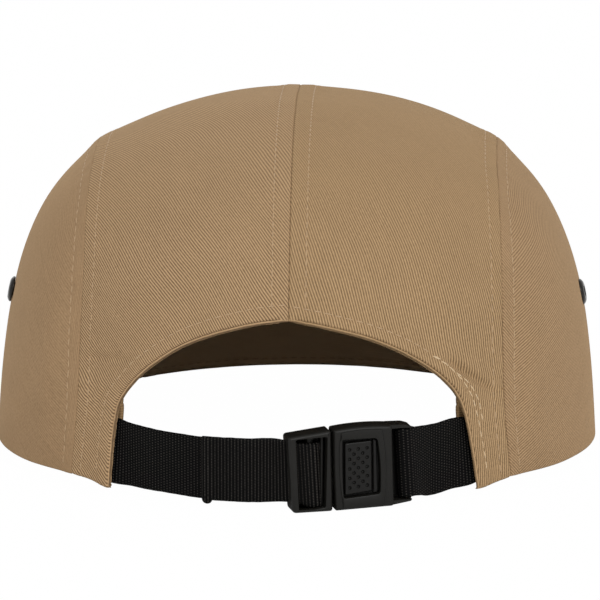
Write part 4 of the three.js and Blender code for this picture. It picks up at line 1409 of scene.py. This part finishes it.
def buildBuckleBody():
    f = buckleBody
    back, front, crest, bow = (f[key] for key in ("back", "front", "crest", "windowBow"))
    bm = bmesh.new()
    outer = outline(f["corners"], f["corner"], (0, 0, f["bowTop"], 0.15))
    window = outline(f["window"], f["windowCorner"], (0, bow, 0, bow))
    ridge = outline(f["ridge"], 0.5, (0, f["ridgeBow"], f["bowTop"], f["ridgeBow"] * 0.4))
    face = [(ridge, -0.05, front + 0.05), (ridge, 0.12, crest - 0.05), (ridge, 0.35, crest)]
    shell(bm, f, outer, window, face, crest)
    block(bm, shrunk(window, -0.2), back + 0.2, f["floor"])
    armBack, armFront = f["armBack"], f["armFront"]
    for corners, radii in ((f["upperArm"], (0.2, 0.1, 0.4, 0.7, 0.2)), (f["lowerArm"], (0.2, 0.5, 0.2, 0.2))):
        arm = outline(corners, radii, perSide=4)
        skin(bm, [(arm, 0.1, armBack), (arm, 0, armBack + 0.2), (arm, 0, armFront - 0.4),
                  (arm, 0.06, armFront - 0.1), (arm, 0.15, armFront)])
    right, half = f["corners"][1][0], 0.2 - f["lowerArm"][3][1]
    wall = outline(box(right - 0.6, right + f["slotWall"], -half, half), 0.2)
    block(bm, wall, armBack + 0.1, armBack + 0.9)
    bar(bm, "slotBar", f["upperArm"][0][1] + 0.3)
    finishHard(bm, "buckle_body", acetal)


# the button's face is a net with a shallow dimple at each grip point, in five staggered columns
def buildButton():
    f = button
    bm = bmesh.new()
    bmesh.ops.create_grid(bm, x_segments=74, y_segments=138, size=0.5)
    lowLeft, lowRight, highRight, highLeft = np.array(f["corners"])

    def onFace(across, up):
        return mix(mix(lowLeft, lowRight, across), mix(highLeft, highRight, across), up)

    dots = np.array([onFace(across, f["firstRow"] + (row + column % 2 / 2) * f["rowPitch"])
                     for column, across in enumerate(f["columns"]) for row in range(5 - column % 2)])
    width, height = lowRight[0] - lowLeft[0], highLeft[1] - lowLeft[1]
    wall = bmesh.ops.extrude_edge_only(bm, edges=boundary(bm))["geom"]
    low = {v for v in wall if isinstance(v, bmesh.types.BMVert)}
    for v in bm.verts:
        across, up = v.co.x + 0.5, v.co.y + 0.5
        place = onFace(across, up)
        gap = np.hypot(*(dots - place).T).min() / f["dotRadius"]
        dip = f["dotDepth"] * math.sqrt(max(0.0, 1 - gap * gap))
        toEdge = min(min(across, 1 - across) * width, min(up, 1 - up) * height)
        edge = f["edge"] * (1 - min(1.0, toEdge / f["edge"])) ** 2
        v.co = toWorld(fromBuckle([*place, f["floor"] if v in low else f["top"] - dip - edge]))
    bmesh.ops.contextual_create(bm, geom=boundary(bm))
    lip = outline(f["lip"], 0.3)
    skin(bm, [(lip, 0, f["floor"]), (lip, 0, f["lipTop"] - 0.2), (lip, 0.2, f["lipTop"])])
    finishHard(bm, "buckle_button", acetalSmooth)


buildBuckleFrame()
buildBuckleBody()
buildButton()
print("buckle is moulded")


# Eyelets

def buildEyelet(side, word):
    outer, rim, bore, proud = (eyelet[key] for key in ("outer", "rim", "bore", "proud"))
    at, normal = eyeletPlace(side)
    bm = bmesh.new()
    # radius and height over the cloth, from the foot of the bore round the back, the shank and the face
    profile = [
        (bore, -2.6), (outer - 0.5, -2.6), (outer - 0.3, -2.2), (outer - 0.4, -1.95),
        (2.3, -1.9), (2.3, -0.3), (outer - 0.15, -0.25), (outer, 0.05), (outer - 0.12, 0.4),
        (rim, 0.9), (rim - 0.5, proud), (bore + 0.6, proud), (bore + 0.2, 0.9), (bore, 0.5),
    ]
    verts = [bm.verts.new((r, 0, h)) for r, h in profile]
    edges = [bm.edges.new((verts[i], verts[(i + 1) % len(verts)])) for i in range(len(verts))]
    bmesh.ops.spin(bm, geom=verts + edges, cent=(0, 0, 0), axis=(0, 0, 1), angle=2 * math.pi, steps=48,
                   use_merge=True)
    bmesh.ops.remove_doubles(bm, verts=bm.verts, dist=1e-5)
    bmesh.ops.recalc_face_normals(bm, faces=bm.faces)
    turn = Vector(normal).to_track_quat("Z", "Y").to_matrix().to_4x4()
    place = Matrix.Translation(toWorld(at)) @ turn @ Matrix.Scale(mm, 4)
    bmesh.ops.transform(bm, matrix=place, verts=bm.verts)
    mesh = toMesh(bm, "eyelet")
    link("eyelet_" + word + "_turned", mesh, lacquer, ["eyelet_" + word])
    mesh.set_sharp_from_angle(angle=math.radians(50))


lacquer = blackLacquer("black lacquered brass")
for side, word in words.items():
    buildEyelet(side, word)
print("eyelets are set")
